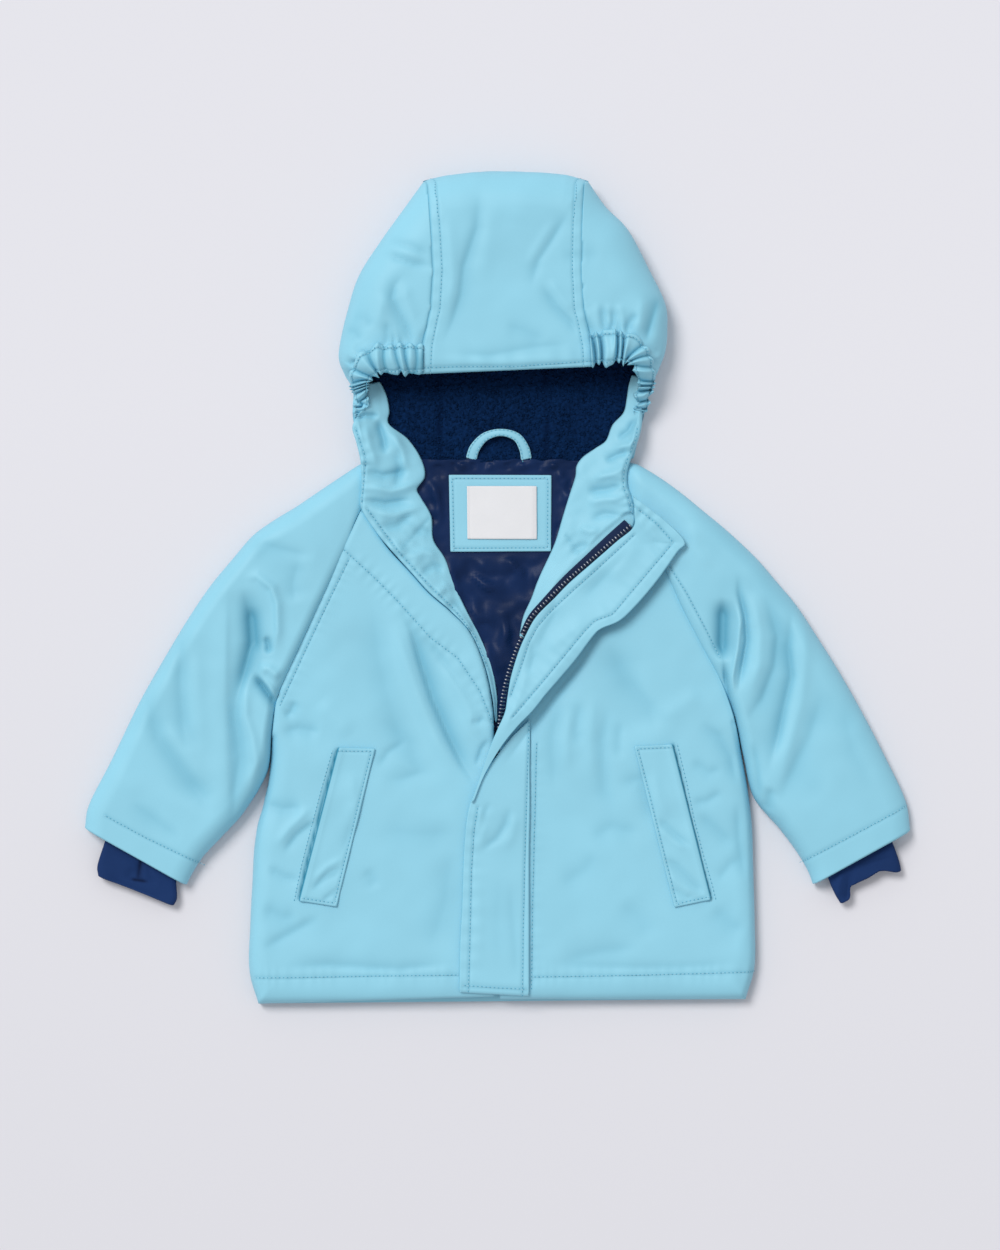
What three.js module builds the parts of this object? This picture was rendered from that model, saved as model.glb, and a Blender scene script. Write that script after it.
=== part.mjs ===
// Kids raincoat lying flat on its back, hood at the top. Millimetres.
// +X is the viewer's right, +Y runs from hem to hood, +Z is up from the surface it lies on.
// Every piece is a closed wall between an upper and a lower sheet of points. Heights are
// functions of the place in plan, so that a piece that lies on another follows its form.
import * as THREE from "three";

// Sizes
const CLOTH_GAP = 0.6;
const EDGE_GAP = 0.9;
const SEAM_GAP = 0.35;
const BACK_EDGE = 3.6;
const BACK_PUFF = 2.4;
const LINING = 1.6;
const FRONT_EDGE = 3.4;
const FRONT_PUFF = 6.2;
const BODY_ROUND = 15;
const SIDE_CURL = 2.4;
const HOOD_WALL = 4.5;
const HOOD_EDGE = 15;
const HOOD_HIGH = 40;
const HOOD_LOW = 9;
const HOOD_ROUND = 30;
const HOOD_UNDER_ROUND = 14;
const FLEECE = 2.4;
const SLEEVE_EDGE = 5.5;
const SLEEVE_SLOT = 3;

// Colours
const BLUE = 0x93cfe4;
const NAVY = 0x2f4f80;
const FLEECE_NAVY = 0x12284a;
const WHITE = 0xeceef2;
const METAL = 0xa2a9b9;

// Side of the body from the neck down the raglan seam, past the armpit, to the hem.
// Edge is the front edge beside the zip, level with the same row.
const LEFT_ROWS = [
  { sideX: -106, sideY: 60, edgeX: -103.4, edgeY: 58 },
  { sideX: -118, sideY: 34, edgeX: -87, edgeY: 33 },
  { sideX: -129, sideY: 9, edgeX: -67, edgeY: 11 },
  { sideX: -141, sideY: -17, edgeX: -53, edgeY: -4.5 },
  { sideX: -153, sideY: -43, edgeX: -37.5, edgeY: -18 },
  { sideX: -165, sideY: -70, edgeX: -22, edgeY: -34.5 },
  { sideX: -172, sideY: -91, edgeX: -11, edgeY: -60 },
  { sideX: -175, sideY: -117, edgeX: -4.5, edgeY: -91 },
  { sideX: -177, sideY: -142, edgeX: -3, edgeY: -118 },
  { sideX: -180, sideY: -163, edgeX: -2.6, edgeY: -145 },
  { sideX: -187, sideY: -187, edgeX: -2.6, edgeY: -176 },
  { sideX: -190, sideY: -220, edgeX: -2.6, edgeY: -212 },
  { sideX: -192, sideY: -259, edgeX: -2.6, edgeY: -252 },
  { sideX: -193, sideY: -296, edgeX: -2.6, edgeY: -290 },
  { sideX: -186, sideY: -323.5, edgeX: -2.6, edgeY: -317 },
];
const RIGHT_ROWS = [
  { sideX: 110, sideY: 60, edgeX: 108.8, edgeY: 57.5 },
  { sideX: 114.6, sideY: 49, edgeX: 107, edgeY: 43.4 },
  { sideX: 120.5, sideY: 36, edgeX: 94, edgeY: 32 },
  { sideX: 131, sideY: 13, edgeX: 76.4, edgeY: 16.5 },
  { sideX: 144, sideY: -16, edgeX: 58, edgeY: 0.5 },
  { sideX: 158, sideY: -43, edgeX: 41.4, edgeY: -16 },
  { sideX: 171, sideY: -67, edgeX: 31.4, edgeY: -27.5 },
  { sideX: 178, sideY: -84, edgeX: 25.4, edgeY: -39.5 },
  { sideX: 184.5, sideY: -105, edgeX: 19, edgeY: -54 },
  { sideX: 190, sideY: -131, edgeX: 10.5, edgeY: -86 },
  { sideX: 195, sideY: -160, edgeX: 3, edgeY: -122 },
  { sideX: 198, sideY: -187, edgeX: 2, edgeY: -165 },
  { sideX: 199, sideY: -220, edgeX: 2, edgeY: -210 },
  { sideX: 200, sideY: -257, edgeX: 2, edgeY: -252 },
  { sideX: 200, sideY: -294, edgeX: 2, edgeY: -290 },
  { sideX: 193, sideY: -320, edgeX: 2, edgeY: -319.5 },
];
const ARMPIT_LEFT = 7;
const ARMPIT_RIGHT = 8;
const SIDE_STEPS = 5;
const NECK_BACK = { left: -103.6, right: 103.6, y: 97 };

// Sleeve sections from the neck to the cuff edge. sewn is 1 along the raglan seam and 0 where
// the under edge is free; high is the height of the middle, slot the room inside.
const SLEEVE_LEFT = [
  { overX: -106, overY: 97.5, underX: -107, underY: 60, high: 17, sewn: 1 },
  { overX: -122, overY: 87.5, underX: -118, underY: 34, high: 19, sewn: 1 },
  { overX: -140, overY: 75.5, underX: -129, underY: 9, high: 21, sewn: 1 },
  { overX: -157, overY: 64, underX: -141, underY: -17, high: 23, sewn: 1 },
  { overX: -173.5, overY: 54, underX: -153, underY: -43, high: 24, sewn: 1 },
  { overX: -190.5, overY: 41.5, underX: -165, underY: -70, high: 25, sewn: 0.8 },
  { overX: -207, overY: 22, underX: -172, underY: -91, high: 25, sewn: 0.3 },
  { overX: -224, overY: 1, underX: -175.6, underY: -117, high: 25, sewn: 0 },
  { overX: -241.5, overY: -25, underX: -179.4, underY: -144, high: 24, sewn: 0 },
  { overX: -261, overY: -57.5, underX: -197, underY: -174, high: 23, sewn: 0 },
  { overX: -279.5, overY: -90.5, underX: -214, underY: -193, high: 22, sewn: 0 },
  { overX: -300.5, overY: -134, underX: -229, underY: -209, high: 20, sewn: 0 },
  { overX: -317.8, overY: -168, underX: -238, underY: -223, high: 18, sewn: 0 },
  { overX: -321.4, overY: -186.5, underX: -242, underY: -231, high: 17, sewn: 0 },
];
const SLEEVE_RIGHT = [
  { overX: 107.4, overY: 97.5, underX: 110.6, underY: 60, high: 17, sewn: 1 },
  { overX: 123, overY: 89, underX: 120.5, underY: 36, high: 19, sewn: 1 },
  { overX: 141, overY: 76.5, underX: 131, underY: 13, high: 21, sewn: 1 },
  { overX: 159.5, overY: 61.5, underX: 144, underY: -16, high: 23, sewn: 1 },
  { overX: 180, overY: 44.5, underX: 158, underY: -43, high: 24, sewn: 1 },
  { overX: 201.5, overY: 24, underX: 171, underY: -67, high: 25, sewn: 0.8 },
  { overX: 217, overY: 5.5, underX: 178, underY: -84, high: 25, sewn: 0.3 },
  { overX: 233, overY: -14, underX: 185.2, underY: -105, high: 25, sewn: 0 },
  { overX: 248.5, overY: -37.5, underX: 191.6, underY: -132, high: 24, sewn: 0 },
  { overX: 267, overY: -67, underX: 199.4, underY: -163, high: 23, sewn: 0 },
  { overX: 285, overY: -99, underX: 220, underY: -188, high: 22, sewn: 0 },
  { overX: 302, overY: -132, underX: 234, underY: -207, high: 20, sewn: 0 },
  { overX: 317.5, overY: -165, underX: 242, underY: -221, high: 18, sewn: 0 },
  { overX: 321.5, overY: -188.5, underX: 245.5, underY: -230.5, high: 17, sewn: 0 },
];

// Inner cuffs: sections from inside the sleeve to the free edge.
const CUFF_LEFT = [
  { overX: -300, overY: -178, underX: -248.5, underY: -203, high: 4.6 },
  { overX: -303.5, overY: -191, underX: -250, underY: -217, high: 4.6 },
  { overX: -306.5, overY: -200, underX: -250, underY: -230, high: 4.8 },
  { overX: -311.5, overY: -216, underX: -249.5, underY: -241.5, high: 6.5 },
  { overX: -311, overY: -224, underX: -252, underY: -247, high: 6.5 },
];
const CUFF_RIGHT = [
  { overX: 299, overY: -177, underX: 252.5, underY: -203, high: 4.6 },
  { overX: 303, overY: -189, underX: 255.5, underY: -216, high: 4.6 },
  { overX: 307.5, overY: -198, underX: 258, underY: -227.5, high: 4.8 },
  { overX: 312, overY: -211, underX: 262.5, underY: -238, high: 6.5 },
  { overX: 313.5, overY: -218.5, underX: 267, underY: -245.5, high: 6.5 },
];

// Hood side panels: outer is the outline, top the seam on the upper layer, low the seam below.
const HOOD_LEFT = [
  { outX: -57.5, outY: 315.5, topX: -54.6, topY: 314.5, lowY: 310.5 },
  { outX: -73, outY: 294, topX: -53.5, topY: 296, lowY: 296 },
  { outX: -91, outY: 269, topX: -51.7, topY: 272, lowY: 272 },
  { outX: -108, outY: 242, topX: -50.2, topY: 245, lowY: 245 },
  { outX: -117, outY: 213.5, topX: -52, topY: 216, lowY: 216 },
  { outX: -122, outY: 192, topX: -59, topY: 187.5, lowY: 190 },
  { outX: -123.3, outY: 178, topX: -104, topY: 186.5, lowY: 172 },
  { outX: -119, outY: 166, topX: -113, topY: 172, lowY: 158 },
  { outX: -112.5, outY: 153, topX: -110.5, topY: 156, lowY: 144 },
  { outX: -112.5, outY: 132, topX: -110.5, topY: 133, lowY: 126 },
  { outX: -106, outY: 101, topX: -104, topY: 101.5, lowY: 98 },
];
const HOOD_RIGHT = [
  { outX: 70.5, outY: 315.5, topX: 67.6, topY: 314.5, lowY: 310.5 },
  { outX: 84, outY: 296, topX: 66.4, topY: 296, lowY: 296 },
  { outX: 101.5, outY: 278, topX: 65.6, topY: 276, lowY: 272 },
  { outX: 118, outY: 247, topX: 65.2, topY: 247, lowY: 245 },
  { outX: 130.5, outY: 220.5, topX: 67, topY: 220, lowY: 216 },
  { outX: 132, outY: 200, topX: 73, topY: 199.5, lowY: 192 },
  { outX: 130.5, outY: 184, topX: 111, topY: 198, lowY: 176 },
  { outX: 125, outY: 169, topX: 119.5, topY: 177, lowY: 160 },
  { outX: 119.5, outY: 156, topX: 117.5, topY: 159, lowY: 146 },
  { outX: 114, outY: 134, topX: 112, topY: 135, lowY: 126 },
  { outX: 106, outY: 101, topX: 104, topY: 101.5, lowY: 98 },
];
// Hood seams beside the centre panel, on the upper layer from brim to crown and below it.
const SEAMS_UPPER = [
  { y: 166, left: -59.3, right: 74.3 },
  { y: 187, left: -58, right: 73 },
  { y: 216, left: -51.8, right: 66.7 },
  { y: 245, left: -50, right: 65 },
  { y: 272, left: -51.5, right: 65.4 },
  { y: 296, left: -53.3, right: 66.2 },
  { y: 317, left: -55, right: 67.5 },
];
const SEAMS_LOWER = [
  { y: 98, left: -46.7, right: 38.3 },
  { y: 240, left: -46.7, right: 38.3 },
  { y: 280, left: -47.2, right: 39.5 },
  { y: 316, left: -50, right: 43 },
];
const HOOD_TURN = 312;
const NECK_SEAM = 98;
const BRIM = { left: 165.8, right: 171.5 };
const CROWN = [
  [-53.5, 317.2],
  [-40, 320.5],
  [-18, 323],
  [6, 323.5],
  [34, 322.8],
  [54, 321],
  [66.5, 317.2],
];

// Gathered casings from the brim down to the neck: centre line and half width.
const CASING_LEFT = [
  { x: -60.5, y: 176, half: 9.6 },
  { x: -80, y: 176.5, half: 9.4 },
  { x: -97, y: 174.5, half: 9 },
  { x: -106.5, y: 163, half: 6.8 },
  { x: -105.5, y: 150, half: 5.4 },
  { x: -105.5, y: 140, half: 5 },
  { x: -108, y: 131.5, half: 3.4 },
];
const CASING_RIGHT = [
  { x: 75.5, y: 183.5, half: 11 },
  { x: 90, y: 184.5, half: 11.2 },
  { x: 104, y: 184, half: 9.4 },
  { x: 112, y: 173, half: 7.4 },
  { x: 114, y: 158, half: 6 },
  { x: 113, y: 145, half: 5.4 },
  { x: 109, y: 135.5, half: 3.2 },
];
const GATHERS_LEFT = 10;
const GATHERS_RIGHT = 11;
const GATHER_DEPTH = 1.6;

// Facings of the neck opening: out is the zip side or the outline, in the side on the lining.
const FACING_LEFT = [
  { outX: -3.4, outY: -84, inX: -1, inY: -83 },
  { outX: -9, outY: -60, inX: -5, inY: -61 },
  { outX: -20, outY: -34.5, inX: -14, inY: -38 },
  { outX: -36, outY: -17, inX: -24.5, inY: -18 },
  { outX: -52, outY: -3, inX: -33, inY: 0 },
  { outX: -66, outY: 12.5, inX: -41, inY: 22 },
  { outX: -79, outY: 27, inX: -50.5, inY: 37.5 },
  { outX: -92.3, outY: 43.3, inX: -52, inY: 55.5 },
  { outX: -104.2, outY: 61.6, inX: -60, inY: 70 },
  { outX: -102.8, outY: 76, inX: -63, inY: 77 },
  { outX: -102.5, outY: 88, inX: -57, inY: 87 },
  { outX: -104, outY: 100, inX: -60, inY: 100.5 },
  { outX: -108, outY: 113, inX: -70.5, inY: 116 },
  { outX: -112, outY: 125.5, inX: -85, inY: 127.5 },
];
const FACING_RIGHT = [
  { outX: 23.4, outY: -37.6, inX: 17.5, inY: -38.5 },
  { outX: 29.3, outY: -25.2, inX: 20.5, inY: -23 },
  { outX: 39.3, outY: -14, inX: 27, inY: -8 },
  { outX: 56.3, outY: 2.5, inX: 33, inY: 8 },
  { outX: 74.6, outY: 18.4, inX: 44.5, inY: 33 },
  { outX: 92.2, outY: 34, inX: 51, inY: 54 },
  { outX: 105, outY: 46, inX: 56.5, inY: 72 },
  { outX: 106.6, outY: 58, inX: 61, inY: 86 },
  { outX: 104.4, outY: 70, inX: 62, inY: 94.5 },
  { outX: 101, outY: 80, inX: 67, inY: 101.5 },
  { outX: 101, outY: 91.5, inX: 77, inY: 108.5 },
  { outX: 104.5, outY: 103, inX: 85, inY: 114.5 },
  { outX: 109.5, outY: 116, inX: 90, inY: 126.5 },
  { outX: 112, outY: 128, inX: 98.5, inY: 136 },
];

// Row of zip teeth from the neck to the closed part under the flap.
const ZIP = [
  { x: 103, y: 48, half: 3.2 },
  { x: 89.5, y: 36.5, half: 3.2 },
  { x: 72, y: 21, half: 3.2 },
  { x: 53.5, y: 5, half: 3.2 },
  { x: 36.5, y: -12, half: 3.2 },
  { x: 26, y: -23.5, half: 3.1 },
  { x: 19.5, y: -36.5, half: 3 },
  { x: 13.2, y: -51.5, half: 3 },
  { x: 6.8, y: -72, half: 2.8 },
  { x: 3, y: -92, half: 2.6 },
  { x: 0.4, y: -118, half: 1.9 },
  { x: -0.3, y: -150, half: 1.7 },
  { x: -0.3, y: -230, half: 1.7 },
  { x: -0.3, y: -306, half: 1.7 },
];

// Storm flap below: free edge and seam. Flap facing above: zip side and free edge, turned open.
const FLAP = [
  { leftX: -29, leftY: -313.5, rightX: 24, rightY: -316.5 },
  { leftX: -28.5, leftY: -276, rightX: 24, rightY: -278 },
  { leftX: -27, leftY: -247.5, rightX: 24, rightY: -247.5 },
  { leftX: -25.5, leftY: -204.5, rightX: 24, rightY: -204.5 },
  { leftX: -22.5, leftY: -174.5, rightX: 24.5, rightY: -174.5 },
  { leftX: -17, leftY: -159, rightX: 24.5, rightY: -156 },
  { leftX: -9, leftY: -144, rightX: 24.5, rightY: -139 },
  { leftX: 1, leftY: -129, rightX: 24.8, rightY: -121 },
  { leftX: 12, leftY: -115, rightX: 25, rightY: -103 },
];
const FLAP_FACING = [
  { leftX: -19.8, leftY: -166, rightX: -18.6, rightY: -165.4 },
  { leftX: -14, leftY: -149, rightX: -10.5, rightY: -145.5 },
  { leftX: -7, leftY: -128, rightX: 2, rightY: -124 },
  { leftX: 0.5, leftY: -110, rightX: 14.5, rightY: -108 },
  { leftX: 8, leftY: -97, rightX: 27, rightY: -95 },
  { leftX: 12, leftY: -84, rightX: 36.5, rightY: -83 },
  { leftX: 15.5, leftY: -70, rightX: 46, rightY: -72 },
  { leftX: 21.5, leftY: -51.5, rightX: 60, rightY: -55.5 },
  { leftX: 27.5, leftY: -38, rightX: 73, rightY: -38 },
  { leftX: 34, leftY: -26.5, rightX: 80, rightY: -31.5 },
  { leftX: 45.5, leftY: -13, rightX: 94.5, rightY: -25 },
  { leftX: 60.5, leftY: 0.5, rightX: 109, rightY: -11 },
  { leftX: 79, leftY: 16.5, rightX: 124, rightY: 7 },
  { leftX: 96, leftY: 31.5, rightX: 138.5, rightY: 27.5 },
  { leftX: 108.5, leftY: 44, rightX: 144.5, rightY: 35.5 },
  { leftX: 108.5, leftY: 57, rightX: 132, rightY: 49.5 },
  { leftX: 105.5, leftY: 70, rightX: 112, rightY: 65.5 },
];

// Pocket welts, label patch and label: corners from the lower left, turning left.
const POCKET_LEFT = [
  [-154, -242.5],
  [-125.2, -247],
  [-95.5, -125.3],
  [-123.6, -124.6],
];
const POCKET_RIGHT = [
  [137.7, -247.5],
  [165.8, -241.6],
  [136, -122],
  [106.5, -123.2],
];
const PATCH = [
  [-36.3, 28.4],
  [41.3, 28.8],
  [41.6, 87.4],
  [-37.5, 87.6],
];
const LABEL = [
  [-23.2, 38.2],
  [30.4, 38],
  [30.2, 79],
  [-23.6, 79],
];
const LOOP = [
  { x: -20.5, y: 100.5, half: 3.9, lift: 0 },
  { x: -17.5, y: 109, half: 3.7, lift: 2.5 },
  { x: -9.5, y: 117.5, half: 3, lift: 4.6 },
  { x: 2.5, y: 120.8, half: 2.5, lift: 5.4 },
  { x: 14.5, y: 117.5, half: 3, lift: 4.6 },
  { x: 20.5, y: 109, half: 3.6, lift: 2.5 },
  { x: 22.5, y: 100.5, half: 3.9, lift: 0 },
];

// Largest folds: a line in plan, its half width and its height, below zero for a trough.
const BODY_FOLDS = [
  { x1: -166, y1: -100, x2: -118, y2: -60, wide: 11, high: -2.4 },
  { x1: -158, y1: -128, x2: -122, y2: -104, wide: 10, high: 2 },
  { x1: -52, y1: -72, x2: -16, y2: -152, wide: 8, high: -2.2 },
  { x1: -64, y1: -70, x2: -28, y2: -160, wide: 10, high: 2 },
  { x1: -84, y1: -160, x2: -70, y2: -235, wide: 14, high: 1.8 },
  { x1: -108, y1: -262, x2: -60, y2: -286, wide: 13, high: -1.6 },
  { x1: 174, y1: -96, x2: 150, y2: -56, wide: 11, high: -2.4 },
  { x1: 166, y1: -130, x2: 132, y2: -82, wide: 12, high: 2.2 },
  { x1: 50, y1: -96, x2: 76, y2: -150, wide: 13, high: -1.8 },
  { x1: 78, y1: -120, x2: 92, y2: -200, wide: 12, high: 1.8 },
  { x1: 60, y1: -250, x2: 110, y2: -282, wide: 14, high: -1.5 },
];
const SLEEVE_FOLDS = [
  { x1: -204, y1: -8, x2: -176, y2: 2, wide: 9, high: -5 },
  { x1: -200, y1: -40, x2: -188, y2: -66, wide: 7, high: -7.5 },
  { x1: -188, y1: -66, x2: -160, y2: -98, wide: 7, high: 3 },
  { x1: -202, y1: -88, x2: -194, y2: -128, wide: 9, high: -4.5 },
  { x1: -232, y1: -120, x2: -214, y2: -176, wide: 11, high: 2.6 },
  { x1: -262, y1: -128, x2: -246, y2: -186, wide: 10, high: -2.4 },
  { x1: 176, y1: -10, x2: 182, y2: -60, wide: 6.5, high: -8 },
  { x1: 188, y1: 6, x2: 189, y2: -44, wide: 7, high: 3.5 },
  { x1: 226, y1: -26, x2: 220, y2: -104, wide: 9, high: -4.2 },
  { x1: 244, y1: -90, x2: 232, y2: -150, wide: 11, high: 2.4 },
  { x1: 268, y1: -120, x2: 254, y2: -190, wide: 10, high: -2.4 },
];
const HOOD_FOLDS = [
  { x1: -78, y1: 240, x2: -68, y2: 200, wide: 9, high: -3.2 },
  { x1: -98, y1: 224, x2: -92, y2: 196, wide: 8, high: 2.2 },
  { x1: 40, y1: 252, x2: 30, y2: 232, wide: 9, high: -2.6 },
  { x1: 50, y1: 216, x2: 22, y2: 196, wide: 9, high: 1.8 },
  { x1: 92, y1: 246, x2: 104, y2: 206, wide: 9, high: -2.8 },
  { x1: -30, y1: 262, x2: -10, y2: 204, wide: 14, high: -1.8 },
];
const NECK_FOLDS = [
  { x1: -98, y1: 104, x2: -66, y2: 92, wide: 5, high: -3 },
  { x1: -96, y1: 84, x2: -68, y2: 80, wide: 4.5, high: 2.4 },
  { x1: -98, y1: 68, x2: -62, y2: 58, wide: 6, high: -2.6 },
  { x1: -72, y1: 40, x2: -52, y2: 46, wide: 5, high: 2 },
  { x1: 96, y1: 108, x2: 84, y2: 120, wide: 4.5, high: -2.4 },
  { x1: 98, y1: 82, x2: 68, y2: 94, wide: 5, high: 2 },
  { x1: 96, y1: 62, x2: 62, y2: 72, wide: 6, high: -2.2 },
];

// Small helpers
const clamp01 = (t) => Math.min(1, Math.max(0, t));
const smooth = (t) => clamp01(t) ** 2 * (3 - 2 * clamp01(t));
const rounded = (t) => Math.sqrt(1 - (1 - clamp01(t)) ** 2);
const mix = (a, b, t) => a + (b - a) * t;
const crowd = (t, pull = 0.115) => t - pull * Math.sin(2 * Math.PI * t);

// Value of a smooth curve through evenly spaced numbers, at place t from 0 to 1.
function spline(values, t) {
  const last = values.length - 1;
  const at = clamp01(t) * last;
  const i = Math.min(last - 1, Math.floor(at));
  const f = at - i;
  const p1 = values[i];
  const p2 = values[i + 1];
  const p0 = i > 0 ? values[i - 1] : 2 * p1 - p2;
  const p3 = i + 2 <= last ? values[i + 2] : 2 * p2 - p1;
  const bend = 2 * p0 - 5 * p1 + 4 * p2 - p3;
  const twist = 3 * p1 - p0 - 3 * p2 + p3;
  return 0.5 * (2 * p1 + (p2 - p0) * f + bend * f * f + twist * f ** 3);
}

// Smooth value of a named column of a table.
const column = (rows, name, t) => spline(rows.map((row) => row[name]), t);

// Points along two columns of a table.
function curve(rows, nameX, nameY, count) {
  return Array.from({ length: count + 1 }, (_, i) => {
    const t = i / count;
    return [column(rows, nameX, t), column(rows, nameY, t)];
  });
}

// Nearest place on a broken line: distance and the direction across it.
function nearest(line, x, y) {
  let best = { far: Infinity, nx: 0, ny: 0 };
  for (let i = 0; i + 1 < line.length; i++) {
    const [ax, ay] = line[i];
    const dx = line[i + 1][0] - ax;
    const dy = line[i + 1][1] - ay;
    const long = Math.hypot(dx, dy) || 1e-9;
    const t = clamp01(((x - ax) * dx + (y - ay) * dy) / long ** 2);
    const far = Math.hypot(x - ax - t * dx, y - ay - t * dy);
    if (far < best.far) best = { far, nx: -dy / long, ny: dx / long };
  }
  return best;
}

const distance = (line, x, y) => nearest(line, x, y).far;

// Side position of a hood seam at a height in plan.
function seamX(rows, name, y) {
  const i = Math.max(1, rows.findIndex((row) => row.y >= y));
  const low = rows[i - 1];
  const high = rows[i];
  if (y > rows.at(-1).y) return rows.at(-1)[name];
  return mix(low[name], high[name], clamp01((y - low.y) / (high.y - low.y)));
}

// Sum of the folds of a table at a place in plan.
function folds(table, x, y) {
  let sum = 0;
  for (const f of table) {
    const far = distance([[f.x1, f.y1], [f.x2, f.y2]], x, y);
    sum += f.high * Math.exp(-((far / f.wide) ** 2));
  }
  return sum;
}

// Outlines that several pieces share
const leftSide = curve(LEFT_ROWS, "sideX", "sideY", (LEFT_ROWS.length - 1) * SIDE_STEPS);
const rightSide = curve(RIGHT_ROWS, "sideX", "sideY", (RIGHT_ROWS.length - 1) * SIDE_STEPS);
const bodyOutline = [
  ...leftSide.slice(ARMPIT_LEFT * SIDE_STEPS),
  ...rightSide.slice(ARMPIT_RIGHT * SIDE_STEPS).reverse(),
];
const raglanLeft = leftSide.slice(0, ARMPIT_LEFT * SIDE_STEPS + 1);
const raglanRight = rightSide.slice(0, ARMPIT_RIGHT * SIDE_STEPS + 1);
const frontEdgeLeft = curve(LEFT_ROWS, "edgeX", "edgeY", 42);
const frontEdgeRight = curve(RIGHT_ROWS, "edgeX", "edgeY", 42);
const hoodOutline = [
  [-104, 60],
  ...curve(HOOD_LEFT, "outX", "outY", 40).reverse(),
  ...CROWN,
  ...curve(HOOD_RIGHT, "outX", "outY", 40),
  [104, 60],
];

// Heights of the body
// The sides are rounded below the armpits only; above them the sleeves are sewn on.
const belowArmpit = (y) => smooth((-104 - y) / 30);
const bodyRound = (x, y, reach) =>
  mix(1, rounded(distance(bodyOutline, x, y) / reach), belowArmpit(y));
const bodyDepth = (x, y) => bodyRound(x, y, BODY_ROUND);
const backUnder = (x, y) => SIDE_CURL * (1 - bodyRound(x, y, 8));
const backTop = (x, y) => BACK_EDGE + BACK_PUFF * bodyDepth(x, y);
const liningTop = (x, y) => backTop(x, y) + CLOTH_GAP + LINING;
function frontUnder(x, y) {
  const inside = clamp01(distance(bodyOutline, x, y) / 4);
  return backTop(x, y) + EDGE_GAP + (LINING + 2 * CLOTH_GAP - EDGE_GAP) * inside;
}
function raglanDip(x, y) {
  const far = Math.min(distance(raglanLeft, x, y), distance(raglanRight, x, y));
  return 1.6 * Math.exp(-((far / 3.5) ** 2));
}
function bodyTop(x, y) {
  const pad = FRONT_EDGE + FRONT_PUFF * bodyDepth(x, y);
  const fade = bodyDepth(x, y);
  return frontUnder(x, y) + pad + fade * folds(BODY_FOLDS, x, y) - raglanDip(x, y);
}

// Heights of the hood
const hoodHigh = (y) => mix(HOOD_LOW, HOOD_HIGH, smooth((y - 126) / 52));
function hoodSurface(x, y, layer, inset) {
  const far = Math.max(0, distance(hoodOutline, x, y) - inset);
  const edge = HOOD_EDGE * mix(0.45, 1, smooth((y - 128) / 50));
  if (layer) {
    const high = hoodHigh(y) - inset;
    const form = edge + (high - edge) * rounded(far / HOOD_ROUND);
    return form + smooth(far / 20) * folds(HOOD_FOLDS, x, y);
  }
  return edge - (edge - inset) * rounded(far / HOOD_UNDER_ROUND);
}

// Builders
function meshOf(name, points, faces, colour, metal = 0) {
  let volume = 0;
  const cross = new THREE.Vector3();
  const [a, b, c] = [new THREE.Vector3(), new THREE.Vector3(), new THREE.Vector3()];
  for (const [i, j, k] of faces) {
    a.fromArray(points[i]);
    b.fromArray(points[j]);
    c.fromArray(points[k]);
    volume += a.dot(cross.crossVectors(b, c));
  }
  const turned = volume < 0 ? faces.map(([i, j, k]) => [i, k, j]) : faces;
  const geometry = new THREE.BufferGeometry();
  geometry.setAttribute("position", new THREE.Float32BufferAttribute(points.flat(), 3));
  geometry.setIndex(turned.flat());
  geometry.computeVertexNormals();
  const material = new THREE.MeshStandardMaterial({
    color: colour,
    roughness: metal ? 0.35 : 0.8,
    metalness: metal,
  });
  const mesh = new THREE.Mesh(geometry, material);
  mesh.name = name;
  return mesh;
}

// Closed wall between two sheets of points of the same rows and columns.
function wall(name, upper, lower, colour, metal) {
  const rows = upper.length;
  const cols = upper[0].length;
  const points = [...upper.flat(), ...lower.flat()];
  const faces = [];
  const at = (j, i, low) => (low ? rows * cols : 0) + j * cols + i;
  const quad = (p, q, r, s) => faces.push([p, q, r], [p, r, s]);
  for (let j = 0; j + 1 < rows; j++) {
    for (let i = 0; i + 1 < cols; i++) {
      quad(at(j, i), at(j, i + 1), at(j + 1, i + 1), at(j + 1, i));
      quad(at(j, i, 1), at(j + 1, i, 1), at(j + 1, i + 1, 1), at(j, i + 1, 1));
    }
    quad(at(j, 0), at(j + 1, 0), at(j + 1, 0, 1), at(j, 0, 1));
    quad(at(j, cols - 1), at(j, cols - 1, 1), at(j + 1, cols - 1, 1), at(j + 1, cols - 1));
  }
  for (let i = 0; i + 1 < cols; i++) {
    quad(at(0, i), at(0, i, 1), at(0, i + 1, 1), at(0, i + 1));
    quad(at(rows - 1, i), at(rows - 1, i + 1), at(rows - 1, i + 1, 1), at(rows - 1, i, 1));
  }
  return meshOf(name, points, faces, colour, metal);
}

// Closed tube between outer and inner rings of points, open at both ends.
function tube(name, outer, inner, colour) {
  const rows = outer.length;
  const cols = outer[0].length;
  const points = [...outer.flat(), ...inner.flat()];
  const faces = [];
  const at = (j, i, low) => (low ? rows * cols : 0) + j * cols + (i % cols);
  const quad = (p, q, r, s) => faces.push([p, q, r], [p, r, s]);
  for (let i = 0; i < cols; i++) {
    for (let j = 0; j + 1 < rows; j++) {
      quad(at(j, i), at(j, i + 1), at(j + 1, i + 1), at(j + 1, i));
      quad(at(j, i, 1), at(j + 1, i, 1), at(j + 1, i + 1, 1), at(j, i + 1, 1));
    }
    quad(at(0, i), at(0, i, 1), at(0, i + 1, 1), at(0, i + 1));
    quad(at(rows - 1, i), at(rows - 1, i + 1), at(rows - 1, i + 1, 1), at(rows - 1, i, 1));
  }
  return meshOf(name, points, faces, colour);
}

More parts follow.
